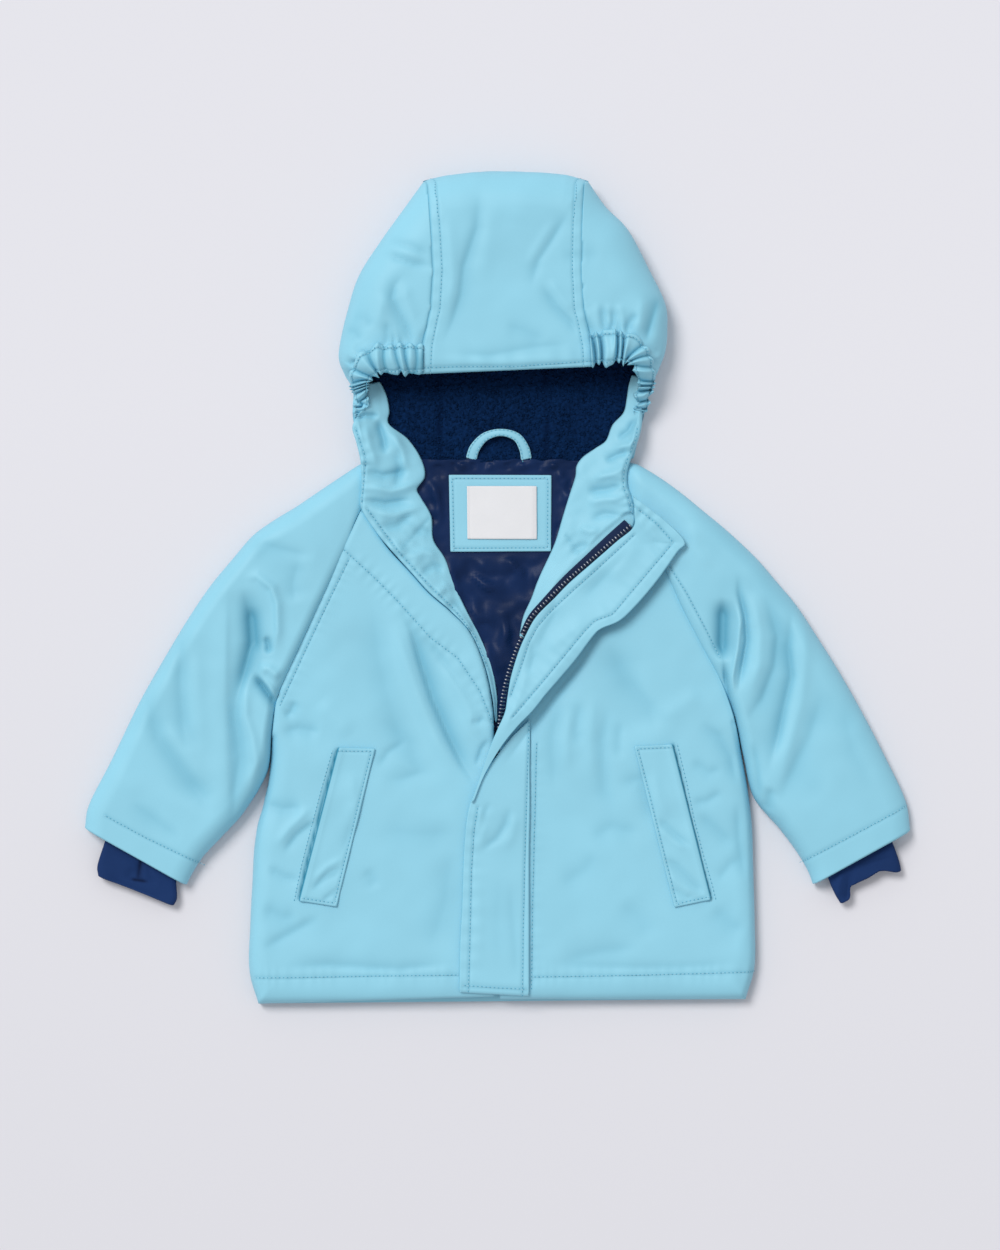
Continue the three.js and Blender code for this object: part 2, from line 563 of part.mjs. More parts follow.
// Sheet between two lines of a table, as rows of places in plan.
function planGrid(rows, names, countRows, countCols, pull = 0.115) {
  const [ax, ay, bx, by] = names;
  return Array.from({ length: countRows + 1 }, (_, j) => {
    const t = j / countRows;
    const a = [column(rows, ax, t), column(rows, ay, t)];
    const b = [column(rows, bx, t), column(rows, by, t)];
    return Array.from({ length: countCols + 1 }, (_, i) => {
      const u = crowd(i / countCols, pull);
      return [mix(a[0], b[0], u), mix(a[1], b[1], u)];
    });
  });
}

// Wall over a plan grid, its two heights given as functions of the place.
function layer(name, grid, under, over, colour, metal) {
  const upper = grid.map((row) => row.map(([x, y]) => [x, y, over(x, y)]));
  const lower = grid.map((row) => row.map(([x, y]) => [x, y, under(x, y)]));
  return wall(name, upper, lower, colour, metal);
}

// Grid inside four corners
function quadGrid([a, b, c, d], countRows, countCols) {
  return Array.from({ length: countRows + 1 }, (_, j) =>
    Array.from({ length: countCols + 1 }, (_, i) => {
      const u = i / countCols;
      const v = j / countRows;
      return [0, 1].map((k) => mix(mix(a[k], b[k], u), mix(d[k], c[k], u), v));
    }),
  );
}

// Strip along a centre line
function stripGrid(rows, countRows, countCols, side = () => 1) {
  return Array.from({ length: countRows + 1 }, (_, j) => {
    const t = j / countRows;
    const x = column(rows, "x", t);
    const y = column(rows, "y", t);
    const step = 0.002;
    const dx = column(rows, "x", t + step) - column(rows, "x", t - step);
    const dy = column(rows, "y", t + step) - column(rows, "y", t - step);
    const long = Math.hypot(dx, dy);
    return Array.from({ length: countCols + 1 }, (_, i) => {
      const u = (2 * i) / countCols - 1;
      const off = column(rows, "half", t) * u * side(t, u);
      return [x - (off * dy) / long, y + (off * dx) / long];
    });
  });
}

// Body
function bodyRows(inset, hemInset) {
  const last = LEFT_ROWS.length;
  return Array.from({ length: last + 1 }, (_, i) => {
    const t = i / last;
    const hem = i === last ? hemInset : 0;
    return {
      ax: column(LEFT_ROWS, "sideX", t) + inset,
      ay: column(LEFT_ROWS, "sideY", t) + hem,
      bx: column(RIGHT_ROWS, "sideX", t) - inset,
      by: column(RIGHT_ROWS, "sideY", t) + hem,
    };
  });
}

function makeBack() {
  const rows = bodyRows(0, 0);
  const neck = { ax: NECK_BACK.left, ay: NECK_BACK.y, bx: NECK_BACK.right, by: NECK_BACK.y };
  const between = { ax: -104.5, ay: 78, bx: 105.5, by: 78 };
  const grid = planGrid([neck, between, ...rows], ["ax", "ay", "bx", "by"], 20, 12);
  return layer("back", grid, backUnder, backTop, BLUE);
}

function makeBackLining() {
  const inset = 7;
  const hemInset = 18;
  const rows = bodyRows(inset, hemInset);
  const neck = { ax: -98, ay: 96.4, bx: 98, by: 96.4 };
  const between = { ax: -99, ay: 78, bx: 100, by: 78 };
  const grid = planGrid([neck, between, ...rows], ["ax", "ay", "bx", "by"], 14, 10);
  const under = (x, y) => backTop(x, y) + CLOTH_GAP;
  return layer("back_lining", grid, under, liningTop, NAVY);
}

function makeFront(name, rows, edge) {
  const grid = planGrid(rows, ["sideX", "sideY", "edgeX", "edgeY"], 24, 12);
  const over = (x, y) => {
    const drop = 2.6 * (1 - rounded(distance(edge, x, y) / 6));
    return bodyTop(x, y) - drop;
  };
  return layer(name, grid, frontUnder, over, BLUE);
}

// Sleeves
function sleeveRing(rows, t, inner) {
  const row = (name) => column(rows, name, t);
  const over = [row("overX"), row("overY")];
  const under = [row("underX"), row("underY")];
  const long = Math.hypot(over[0] - under[0], over[1] - under[1]);
  const sewn = clamp01(row("sewn"));
  const mouth = smooth((t - 0.79) / 0.06);
  const wallThick = mix(7, 4.6, mouth);
  const slot = mix(SLEEVE_SLOT, 5.8, mouth) / 2;
  const high = row("high");
  const middle = mix(high / 2, 7.4, mouth);
  const count = 11;
  const place = (u, z, shift) => {
    const s = clamp01(u);
    const x = mix(over[0], under[0], s);
    const y = mix(over[1], under[1], s);
    return [x + shift[0], y + shift[1], z];
  };
  const away = [
    ((over[0] - under[0]) / long) * SEAM_GAP * 2,
    ((over[1] - under[1]) / long) * SEAM_GAP * 2,
  ];
  const ring = [];
  for (let k = 0; k <= 1; k++) {
    for (let i = 0; i < count; i++) {
      const step = k ? 1 - i / count : i / count;
      const u = crowd(step, 0.12);
      if (inner) {
        const a = wallThick / long;
        const s = mix(a, 1 - a, u);
        const round = rounded(Math.min(u, 1 - u) * 12);
        ring.push(place(s, middle + (k ? -1 : 1) * slot * Math.max(round, 0.02), away));
        continue;
      }
      const fromOver = u * long;
      const fromUnder = (1 - u) * long;
      const nearUnder = mix(SLEEVE_EDGE, high - 2, sewn);
      const shapeOver = rounded(fromOver / 17);
      const shapeUnder = rounded(fromUnder / mix(15, 5, sewn));
      const edge = fromOver < fromUnder ? SLEEVE_EDGE : nearUnder;
      const shape = Math.min(shapeOver, shapeUnder);
      const [x, y] = place(u, 0, away);
      const top = edge + (high - edge) * shape;
      const crease = folds(SLEEVE_FOLDS, x, y) * smooth(shape) * (1 - mouth);
      const curl = fromOver < fromUnder ? SLEEVE_EDGE : mix(SLEEVE_EDGE, 0, sewn);
      const low = curl * (1 - rounded(Math.min(fromOver, fromUnder) / 9));
      ring.push([x, y, k ? low : Math.max(top + crease, middle + slot + 2.4)]);
    }
  }
  return ring;
}

function makeSleeve(name, rows) {
  const steps = 20;
  const rings = (inner) =>
    Array.from({ length: steps + 1 }, (_, j) => sleeveRing(rows, j / steps, inner));
  return tube(name, rings(false), rings(true), BLUE);
}

function makeCuff(name, rows) {
  const steps = 5;
  const count = 8;
  const ring = (t, inner) => {
    const over = [column(rows, "overX", t), column(rows, "overY", t)];
    const under = [column(rows, "underX", t), column(rows, "underY", t)];
    const long = Math.hypot(over[0] - under[0], over[1] - under[1]);
    const half = column(rows, "high", t) / 2;
    const points = [];
    for (let k = 0; k <= 1; k++) {
      for (let i = 0; i < count; i++) {
        const u = crowd(k ? 1 - i / count : i / count, 0.12);
        const inset = inner ? 1.9 / long : 0;
        const s = mix(inset, 1 - inset, u);
        const shape = Math.max(rounded(Math.min(u, 1 - u) * 14), 0.1);
        const room = inner ? half - 1.8 : half;
        const x = mix(over[0], under[0], s);
        const y = mix(over[1], under[1], s);
        points.push([x, y, 7.4 + (k ? -1 : 1) * room * shape]);
      }
    }
    return points;
  };
  const rings = (inner) => Array.from({ length: steps + 1 }, (_, j) => ring(j / steps, inner));
  return tube(name, rings(false), rings(true), NAVY);
}

// Hood
function hoodPoint(x, y, layerUp, inner) {
  if (!inner) return [x, y, hoodSurface(x, y, layerUp, 0)];
  const { far, nx, ny } = nearest(hoodOutline, x, y);
  const shift = HOOD_WALL * clamp01(1 - far / 25);
  const px = x + nx * shift * -1;
  const py = y + ny * shift * -1;
  return [px, py, hoodSurface(px, py, layerUp, HOOD_WALL)];
}

function makeHoodSide(name, rows, side) {
  const lengthways = 16;
  const topSteps = 8;
  const lowSteps = 7;
  const out = side === "left" ? -SEAM_GAP : SEAM_GAP;
  const sheet = (inner) =>
    Array.from({ length: lengthways + 1 }, (_, j) => {
      const t = j / lengthways;
      const row = (key) => column(rows, key, t);
      const sewn = seamX(SEAMS_UPPER, side, row("topY")) + out;
      const topX = side === "left" ? Math.min(sewn, row("topX")) : Math.max(sewn, row("topX"));
      const lowX = seamX(SEAMS_LOWER, side, row("lowY")) + out;
      const points = [];
      for (let i = 0; i < topSteps; i++) {
        const u = 1 - (1 - i / topSteps) ** 1.6;
        points.push([mix(topX, row("outX"), u), mix(row("topY"), row("outY"), u), 1]);
      }
      for (let i = 0; i <= lowSteps; i++) {
        const u = (i / lowSteps) ** 1.6;
        points.push([mix(row("outX"), lowX, u), mix(row("outY"), row("lowY"), u), 0]);
      }
      const within = side === "left" ? Math.min : Math.max;
      return points.map(([px, py, up]) => {
        const [x, y, z] = hoodPoint(px, py, up, inner);
        return [within(x, up ? topX : lowX), y, z];
      });
    });
  return wall(name, sheet(false), sheet(true), BLUE);
}

function makeHoodCentre() {
  const across = 10;
  const topSteps = 9;
  const lowSteps = 8;
  const between = (rows, y, u) =>
    mix(seamX(rows, "left", y) + SEAM_GAP, seamX(rows, "right", y) - SEAM_GAP, u);
  const turn = [
    { along: 0.1, rise: 0.6, up: 1 },
    { along: 0.3, rise: 0.92, up: 1 },
    { along: 0.5, rise: 1, up: 0 },
    { along: 0.8, rise: 0.75, up: 0 },
  ];
  const sheet = (inner) =>
    Array.from({ length: across + 1 }, (_, j) => {
      const u = j / across;
      const brim = mix(BRIM.left, BRIM.right, u);
      const crown = spline(CROWN.map((p) => p[1]), u);
      const points = [];
      for (let i = 0; i < topSteps; i++) {
        const y = mix(brim, HOOD_TURN, i / (topSteps - 1));
        points.push([between(SEAMS_UPPER, y, u), y, 1]);
      }
      const upperX = between(SEAMS_UPPER, HOOD_TURN, u);
      const lowerX = between(SEAMS_LOWER, HOOD_TURN, u);
      for (const { along, rise, up } of turn) {
        points.push([mix(upperX, lowerX, along), mix(HOOD_TURN, crown, rise), up]);
      }
      for (let i = 0; i < lowSteps; i++) {
        const y = mix(HOOD_TURN, NECK_SEAM, i / (lowSteps - 1));
        points.push([between(SEAMS_LOWER, y, u), y, 0]);
      }
      return points.map(([x, y, up]) => hoodPoint(x, y, up, inner));
    });
  return wall("hood_centre", sheet(false), sheet(true), BLUE);
}

function makeHoodLining() {
  const rows = [
    { ax: -99, ay: 98.5, bx: 99, by: 98.5 },
    { ax: -103, ay: 130, bx: 104, by: 130 },
    { ax: -99.5, ay: 160, bx: 105, by: 160 },
    { ax: -107, ay: 190, bx: 116, by: 190 },
    { ax: -103, ay: 220, bx: 116, by: 220 },
    { ax: -90, ay: 250, bx: 100, by: 250 },
    { ax: -70, ay: 275, bx: 82, by: 275 },
    { ax: -54, ay: 288, bx: 68, by: 288 },
  ];
  const grid = planGrid(rows, ["ax", "ay", "bx", "by"], 9, 10);
  const under = (x, y) => hoodSurface(x, y, 0, HOOD_WALL) + CLOTH_GAP;
  const over = (x, y) => under(x, y) + FLEECE;
  return layer("hood_lining", grid, under, over, FLEECE_NAVY);
}

function makeCasing(name, rows, gathers) {
  const steps = gathers * 4;
  const cols = 4;
  const scallop = (t) => 1 + 0.05 * Math.cos(2 * Math.PI * gathers * t);
  const grid = stripGrid(rows, steps, cols, scallop);
  const sheet = (low) =>
    grid.map((row, j) => {
      const wave = GATHER_DEPTH * Math.cos((2 * Math.PI * gathers * j) / steps);
      return row.map(([x, y], i) => {
        const u = Math.abs((2 * i) / cols - 1);
        const steep = 1.5 * Math.exp(-((distance(hoodOutline, x, y) / 9) ** 2));
        const base = hoodSurface(x, y, 1, 0) + CLOTH_GAP + steep;
        const crown = 2.6 * Math.sqrt(1 - 0.9 * u * u);
        return [x, y, low ? base : base + 2.2 + crown + wave * (1 - 0.6 * u)];
      });
    });
  return wall(name, sheet(false), sheet(true), BLUE);
}

// Neck opening
function fleeceTop(x, y) {
  return hoodSurface(x, y, 0, HOOD_WALL) + CLOTH_GAP + FLEECE;
}

function facingBase(x, y) {
  const lies = y > NECK_SEAM - 2 ? fleeceTop(x, y) : liningTop(x, y);
  return Math.max(8.9, lies + CLOTH_GAP);
}

function makeFacing(name, rows, swell, zipped) {
  const across = 6;
  const steps = 24;
  const grid = planGrid(rows, ["outX", "outY", "inX", "inY"], steps, across, 0.1);
  const zipLine = curve(ZIP.slice(0, 8), "x", "y", 30);
  const sheet = (low) =>
    grid.map((row, j) => {
      const t = j / steps;
      const wide = Math.hypot(
        column(rows, "outX", t) - column(rows, "inX", t),
        column(rows, "outY", t) - column(rows, "inY", t),
      );
      return row.map(([x, y], i) => {
        const base = facingBase(x, y);
        if (low) return [x, y, base];
        const u = crowd(i / across, 0.1);
        const round = rounded((u * wide + 1) / 7) * rounded(((1 - u) * wide + 1) / 9);
        const slope = mix(1, 0.35, smooth(u)) * Math.min(swell, 3 + wide * 0.3);
        const top = base + 1.6 + Math.max(0, slope * round + folds(NECK_FOLDS, x, y) * round);
        if (!zipped) return [x, y, top];
        const free = smooth((distance(zipLine, x, y) - 9) / 7);
        return [x, y, Math.min(top, mix(zipHeight(x, y) - 2.4, 30, free))];
      });
    });
  return wall(name, sheet(false), sheet(true), BLUE);
}

function zipHeight(x, y) {
  return y > -44 ? mix(17.5, 19.2, smooth((y + 44) / 40)) : mix(10, 17.5, smooth((y + 120) / 76));
}

function makeZip() {
  const grid = stripGrid(ZIP, 24, 1);
  const over = (x, y) => zipHeight(x, y) + 2.4;
  return layer("zip_chain", grid, zipHeight, over, METAL, 0.8);
}

function makeZipTape() {
  const rows = ZIP.slice(0, 7).map(({ x, y }) => ({ ax: x + 2, ay: y - 2, bx: x - 4.6, by: y + 4.6 }));
  const grid = planGrid(rows, ["ax", "ay", "bx", "by"], 12, 2, 0);
  const under = (x, y) => zipHeight(x, y) - 1.7;
  return layer("zip_tape_right", grid, under, (x, y) => zipHeight(x, y) - 0.5, NAVY);
}

// Flap
const flapBase = (x, y) => bodyTop(x, y) + EDGE_GAP;

function makeFlap() {
  const grid = planGrid(FLAP, ["leftX", "leftY", "rightX", "rightY"], 16, 6, 0.1);
  const over = (x, y) => flapBase(x, y) + 2.4;
  return layer("storm_flap", grid, flapBase, over, BLUE);
}

function makeFlapFacing() {
  const grid = planGrid(FLAP_FACING, ["leftX", "leftY", "rightX", "rightY"], 26, 5, 0.1);
  const free = curve(FLAP_FACING, "rightX", "rightY", 60);
  const clear = 2.4 + EDGE_GAP + CLOTH_GAP;
  const under = (x, y) => {
    const lift = 2.2 * Math.exp(-((distance(free, x, y) / 16) ** 2));
    return bodyTop(x, y) + clear + lift * smooth((y + 150) / 60);
  };
  const over = (x, y) => under(x, y) + 2.4;
  return layer("flap_facing", grid, under, over, BLUE);
}

// Trims
function onBody(name, corners) {
  const grid = quadGrid(corners, 10, 3);
  const under = (x, y) => bodyTop(x, y) + CLOTH_GAP;
  return layer(name, grid, under, (x, y) => under(x, y) + 1.8, BLUE);
}

function onLining(name, corners, start, thick, colour) {
  const grid = quadGrid(corners, 4, 4);
  const under = (x, y) => liningTop(x, y) + start;
  return layer(name, grid, under, (x, y) => under(x, y) + thick, colour);
}

function makeLoop() {
  const grid = stripGrid(LOOP, 18, 1);
  const sheet = (low) =>
    grid.map((row, j) => {
      const lift = column(LOOP, "lift", j / 18);
      return row.map(([x, y]) => {
        const base = fleeceTop(x, y) + SEAM_GAP;
        return [x, y, base + lift + (low ? 0 : 1.8)];
      });
    });
  return wall("hanging_loop", sheet(false), sheet(true), BLUE);
}

const coat = new THREE.Group();
coat.name = "kids_raincoat";
coat.add(
  makeBack(),
  makeBackLining(),
  makeFront("front_left", LEFT_ROWS, frontEdgeLeft),
  makeFront("front_right", RIGHT_ROWS, frontEdgeRight),
  makeSleeve("sleeve_left", SLEEVE_LEFT),
  makeSleeve("sleeve_right", SLEEVE_RIGHT),
  makeCuff("cuff_left", CUFF_LEFT),
  makeCuff("cuff_right", CUFF_RIGHT),
  makeHoodCentre(),
  makeHoodSide("hood_left", HOOD_LEFT, "left"),
  makeHoodSide("hood_right", HOOD_RIGHT, "right"),
  makeHoodLining(),
  makeCasing("casing_left", CASING_LEFT, GATHERS_LEFT),
  makeCasing("casing_right", CASING_RIGHT, GATHERS_RIGHT),
  makeFacing("facing_left", FACING_LEFT, 10, false),
  makeFacing("facing_right", FACING_RIGHT, 9, true),
  makeZip(),
  makeZipTape(),
  makeFlap(),
  makeFlapFacing(),
  onBody("pocket_left", POCKET_LEFT),
  onBody("pocket_right", POCKET_RIGHT),
  onLining("label_patch", PATCH, 0.5, 1.4, BLUE),
  onLining("neck_label", LABEL, 2.4, 1.0, WHITE),
  makeLoop(),
);

export default coat;
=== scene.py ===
"""A small child's padded raincoat, laid flat on its back with the neck open.

The coat lies on the floor at Z = 0, with the hood at +Y. Places in plan are in millimetres and
heights are functions of the place in plan, so that a piece that lies on another follows it. Each
piece of cloth is a closed shell on the form of its solid, with the finer folds and seams on it.
"""

import math

import bpy
import numpy as np
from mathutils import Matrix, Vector


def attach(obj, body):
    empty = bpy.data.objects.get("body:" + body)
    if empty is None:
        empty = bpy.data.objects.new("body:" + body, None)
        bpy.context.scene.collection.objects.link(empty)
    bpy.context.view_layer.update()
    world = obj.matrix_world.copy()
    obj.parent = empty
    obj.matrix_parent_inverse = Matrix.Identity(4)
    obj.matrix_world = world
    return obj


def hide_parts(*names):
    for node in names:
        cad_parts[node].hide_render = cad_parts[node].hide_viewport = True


bl_info = {
    "name": "Kids raincoat",
    "version": (1, 0, 0),
    "blender": (4, 5, 0),
    "location": "View3D > Sidebar > Raincoat",
    "description": "Builds a padded raincoat for a small child, laid flat",
    "category": "Add Mesh",
}

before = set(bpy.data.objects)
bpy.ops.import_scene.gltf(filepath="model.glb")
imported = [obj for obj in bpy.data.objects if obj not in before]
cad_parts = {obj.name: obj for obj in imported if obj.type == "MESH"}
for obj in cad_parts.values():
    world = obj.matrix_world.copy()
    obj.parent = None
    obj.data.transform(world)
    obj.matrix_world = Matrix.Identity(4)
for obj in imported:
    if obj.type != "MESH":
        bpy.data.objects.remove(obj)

MM = 0.001


def table(*rows):
    return np.array(rows, float)


# Sizes of the solids, in millimetres
CLOTH_GAP = 0.6
EDGE_GAP = 0.9
SEAM_GAP = 0.35
BACK_EDGE = 3.6
BACK_PUFF = 2.4
LINING = 1.6
FRONT_EDGE = 3.4
FRONT_PUFF = 6.2
BODY_ROUND = 15
SIDE_CURL = 2.4
HOOD_WALL = 4.5
HOOD_EDGE = 15
HOOD_HIGH = 40
HOOD_LOW = 9
HOOD_ROUND = 30
HOOD_UNDER_ROUND = 14
FLEECE = 2.4
SLEEVE_EDGE = 5.5
SLEEVE_SLOT = 3
ARMPIT_LEFT = 7
ARMPIT_RIGHT = 8
HOOD_TURN = 312
HOOD_TOP_STEPS = 110
NECK_SEAM = 98
BRIM = (165.8, 171.5)
GATHERS_LEFT = 13
GATHERS_RIGHT = 13

# sideX, sideY, edgeX, edgeY
LEFT_ROWS = table(
    (-106, 60, -103.4, 58), (-118, 34, -87, 33), (-129, 9, -67, 11), (-141, -17, -53, -4.5),
    (-153, -43, -37.5, -18), (-165, -70, -22, -34.5), (-172, -91, -11, -60),
    (-175, -117, -4.5, -91), (-177, -142, -3, -118), (-180, -163, -2.6, -145),
    (-187, -187, -2.6, -176), (-190, -220, -2.6, -212), (-192, -259, -2.6, -252),
    (-193, -296, -2.6, -290), (-186, -323.5, -2.6, -317),
)
# sideX, sideY, edgeX, edgeY
RIGHT_ROWS = table(
    (110, 60, 108.8, 57.5), (114.6, 49, 107, 43.4), (120.5, 36, 94, 32), (131, 13, 76.4, 16.5),
    (144, -16, 58, 0.5), (158, -43, 41.4, -16), (171, -67, 31.4, -27.5), (178, -84, 25.4, -39.5),
    (184.5, -105, 19, -54), (190, -131, 10.5, -86), (195, -160, 3, -122), (198, -187, 2, -165),
    (199, -220, 2, -210), (200, -257, 2, -252), (200, -294, 2, -290), (193, -320, 2, -319.5),
)
# overX, overY, underX, underY, high, sewn
SLEEVE_LEFT = table(
    (-98, 98, -99, 64, 11, 1), (-106, 97.5, -107, 60, 17, 1), (-122, 87.5, -118, 34, 19, 1), (-140, 75.5, -129, 9, 21, 1),
    (-157, 64, -141, -17, 23, 1), (-173.5, 54, -153, -43, 24, 1),
    (-190.5, 41.5, -165, -70, 25, 0.8), (-207, 22, -172, -91, 25, 0.3),
    (-224, 1, -175.6, -117, 25, 0), (-241.5, -25, -179.4, -144, 24, 0),
    (-261, -57.5, -197, -174, 23, 0), (-279.5, -90.5, -214, -193, 22, 0),
    (-300.5, -134, -229, -209, 20, 0), (-317.8, -168, -238, -223, 18, 0),
    (-321.4, -186.5, -242, -231, 17, 0),
)
# overX, overY, underX, underY, high, sewn
SLEEVE_RIGHT = table(
    (97, 98, 98, 64, 11, 1), (107.4, 97.5, 110.6, 60, 17, 1), (123, 89, 120.5, 36, 19, 1), (141, 76.5, 131, 13, 21, 1),
    (159.5, 61.5, 144, -16, 23, 1), (180, 44.5, 158, -43, 24, 1), (201.5, 24, 171, -67, 25, 0.8),
    (217, 5.5, 178, -84, 25, 0.3), (233, -14, 185.2, -105, 25, 0),
    (248.5, -37.5, 191.6, -132, 24, 0), (267, -67, 199.4, -163, 23, 0),
    (285, -99, 220, -188, 22, 0), (302, -132, 234, -207, 20, 0), (317.5, -165, 242, -221, 18, 0),
    (321.5, -188.5, 245.5, -230.5, 17, 0),
)
# overX, overY, underX, underY, high
CUFF_LEFT = table(
    (-300, -178, -248.5, -203, 4.6), (-303.5, -191, -250, -217, 4.6),
    (-306.5, -200, -250, -230, 4.8), (-311.5, -216, -249.5, -241.5, 6.5),
    (-311, -224, -252, -247, 6.5),
)
# overX, overY, underX, underY, high
CUFF_RIGHT = table(
    (299, -177, 252.5, -203, 4.6), (303, -189, 255.5, -216, 4.6), (307.5, -198, 258, -227.5, 4.8),
    (312, -211, 262.5, -238, 6.5), (313.5, -218.5, 267, -245.5, 6.5),
)
# share of the width from the tongue's side, how far the rim is drawn in
NO_NOTCH = table((0, 0), (1, 0))
CUFF_NOTCH = table(
    (0, 0), (0.13, -0.4), (0.17, 1), (0.21, 5.5), (0.25, 8), (0.4, 7.3), (0.51, 6.9), (0.72, 7.3),
    (0.79, 5.5), (0.86, 2.4), (0.93, -0.6), (1, -1.6),
)
# outX, outY, topX, topY, lowY
HOOD_LEFT = table(
    (-57.5, 315.5, -54.6, 314.5, 310.5), (-73, 294, -53.5, 296, 296), (-91, 269, -51.7, 272, 272),
    (-108, 242, -50.2, 245, 245), (-117, 213.5, -52, 216, 216), (-122, 192, -59, 181, 190),
    (-123.3, 178, -100, 178, 172), (-119, 166, -107, 165, 158), (-112.5, 153, -107, 152, 144),
    (-112.5, 132, -110.5, 133, 126), (-106, 101, -104, 101.5, 98),
)
# outX, outY, topX, topY, lowY
HOOD_RIGHT = table(
    (70.5, 315.5, 67.6, 314.5, 310.5), (84, 296, 66.4, 296, 296), (101.5, 278, 65.6, 276, 272),
    (118, 247, 65.2, 247, 245), (130.5, 220.5, 67, 220, 216), (132, 200, 73, 189, 192),
    (130.5, 184, 107, 187, 176), (125, 169, 113, 171, 160), (119.5, 156, 114, 155, 146),
    (114, 134, 112, 135, 126), (106, 101, 104, 101.5, 98),
)
# y, left, right
SEAMS_UPPER = table(
    (166, -59.3, 74.3), (187, -58, 73), (216, -51.8, 66.7), (245, -50, 65), (272, -51.5, 65.4),
    (296, -53.3, 66.2), (317, -55, 67.5),
)
# y, left, right
SEAMS_LOWER = table(
    (98, -46.7, 38.3), (240, -46.7, 38.3), (280, -47.2, 39.5), (316, -50, 43),
)
# x, y
CROWN = table(
    (-53.5, 317.2), (-40, 320.5), (-18, 323), (6, 323.5), (34, 322.8), (54, 321), (66.5, 317.2),
)
# share of the turn, left, right
TURN_EDGES = table(
    (0, -54.7, 67.2), (0.2, -55.9, 68.5), (0.4, -57.5, 70.4), (0.5, -58, 70.9), (0.6, -57.7, 70.5),
    (0.7, -56.8, 67.5), (0.8, -54.9, 61.5), (1, -49.7, 42.6),
)
# x, y, half
CASING_LEFT = table(
    (-57.8, 176, 10.6), (-78, 176, 10.8), (-96, 174, 10.4), (-106, 163, 7.6), (-105.5, 150, 5.4),
    (-105.5, 140, 5), (-108, 131.5, 3.4),
)
# x, y, half
CASING_RIGHT = table(
    (72.4, 183.5, 11.6), (89, 184.8, 12), (104, 183.4, 10.6), (112.6, 172, 8.2), (114, 158, 6),
    (113, 145, 5.4), (109, 135.5, 3.2),
)
# outX, outY, inX, inY
FACING_LEFT = table(
    (-1.3, -104, -0.5, -103.6), (-2.5, -95, -0.7, -94),
    (-3.8, -84.2, -1, -83), (-9.6, -60.2, -5, -61), (-20.6, -35, -14, -38), (-36.5, -17.6, -24.5, -18),
    (-52.6, -3.6, -33, 0), (-66.6, 12, -41, 22), (-79.6, 26.5, -50.5, 37.5), (-93.6, 42.9, -52, 55.5),
    (-105.6, 61.6, -60, 70), (-105.4, 76, -63, 77), (-105.2, 88, -57, 87), (-106, 100, -60, 100.5),
    (-109, 113, -70.5, 116), (-112, 125.5, -85, 127.5), (-106, 137.3, -84.6, 138),
    (-102, 148.2, -87, 149.8), (-100.6, 158, -91.7, 160),
)
# outX, outY, inX, inY
FACING_RIGHT = table(
    (23.4, -37.6, 17.5, -38.5), (29.3, -25.2, 20.5, -23), (39.3, -14, 27, -8), (56.3, 2.5, 33, 8),
    (74.6, 18.4, 44.5, 33), (92.2, 34, 51, 54), (105, 46, 56.5, 72), (106.6, 58, 61, 86),
    (104.4, 70, 62, 94.5), (101, 80, 67, 101.5), (101, 91.5, 77, 108.5), (104.5, 103, 85, 114.5),
    (109.5, 116, 90, 126.5), (112, 128, 98.5, 136),
    (112, 140.4, 101, 146.6), (110.5, 153, 102.6, 157.6), (111.5, 163, 104.9, 165),
)
# x, y, half
ZIP = table(
    (103, 48, 3.2), (89.5, 36.5, 3.2), (72, 21, 3.2), (53.5, 5, 3.2), (36.5, -12, 3.2),
    (26, -23.5, 3.1), (19.5, -36.5, 3), (13.2, -51.5, 3), (6.8, -72, 2.8), (3, -92, 2.6),
    (0.4, -118, 1.9), (-0.3, -150, 1.7), (-0.3, -230, 1.7), (-0.3, -306, 1.7),
)
# leftX, leftY, rightX, rightY
FLAP = table(
    (-29, -313.5, 24, -316.5), (-28.5, -276, 24, -278), (-27, -247.5, 24, -247.5),
    (-25.5, -204.5, 24, -204.5), (-22.5, -174.5, 24.5, -174.5), (-17, -159, 24.5, -156),
    (-9, -144, 24.5, -139), (1, -129, 24.8, -121), (12, -115, 25, -103),
)
# leftX, leftY, rightX, rightY
FLAP_FACING = table(
    (-19.8, -166, -18.6, -165.4), (-14, -149, -10.5, -145.5), (-7, -128, 2, -124),
    (0.5, -110, 14.5, -108), (6.4, -96.4, 27, -95), (8.6, -83.4, 36.5, -83), (11.2, -68.8, 46, -72),
    (17.1, -49.7, 60, -55.5), (23.1, -35.8, 73, -38), (30.3, -23.1, 80, -31.5), (42.6, -10.1, 94.5, -25),
    (57.2, 4.3, 109, -11), (75.6, 20.3, 124, 7), (92.7, 35.4, 138.5, 27.5), (105.6, 46.4, 144.5, 35.5),
    (106.6, 57, 132, 49.5), (105.5, 70, 112, 65.5),
)
# x, y
POCKET_LEFT = table(
    (-154, -242.5), (-125.2, -247), (-95.5, -125.3), (-123.6, -124.6),
)
# x, y
POCKET_RIGHT = table(
    (137.7, -247.5), (165.8, -241.6), (136, -122), (106.5, -123.2),
)
# x, y
PATCH = table(
    (-36.3, 28.4), (41.3, 28.8), (41.6, 87.4), (-37.5, 87.6),
)
# x, y
LABEL = table(
    (-23.2, 38.2), (30.4, 38), (30.2, 79), (-23.6, 79),
)
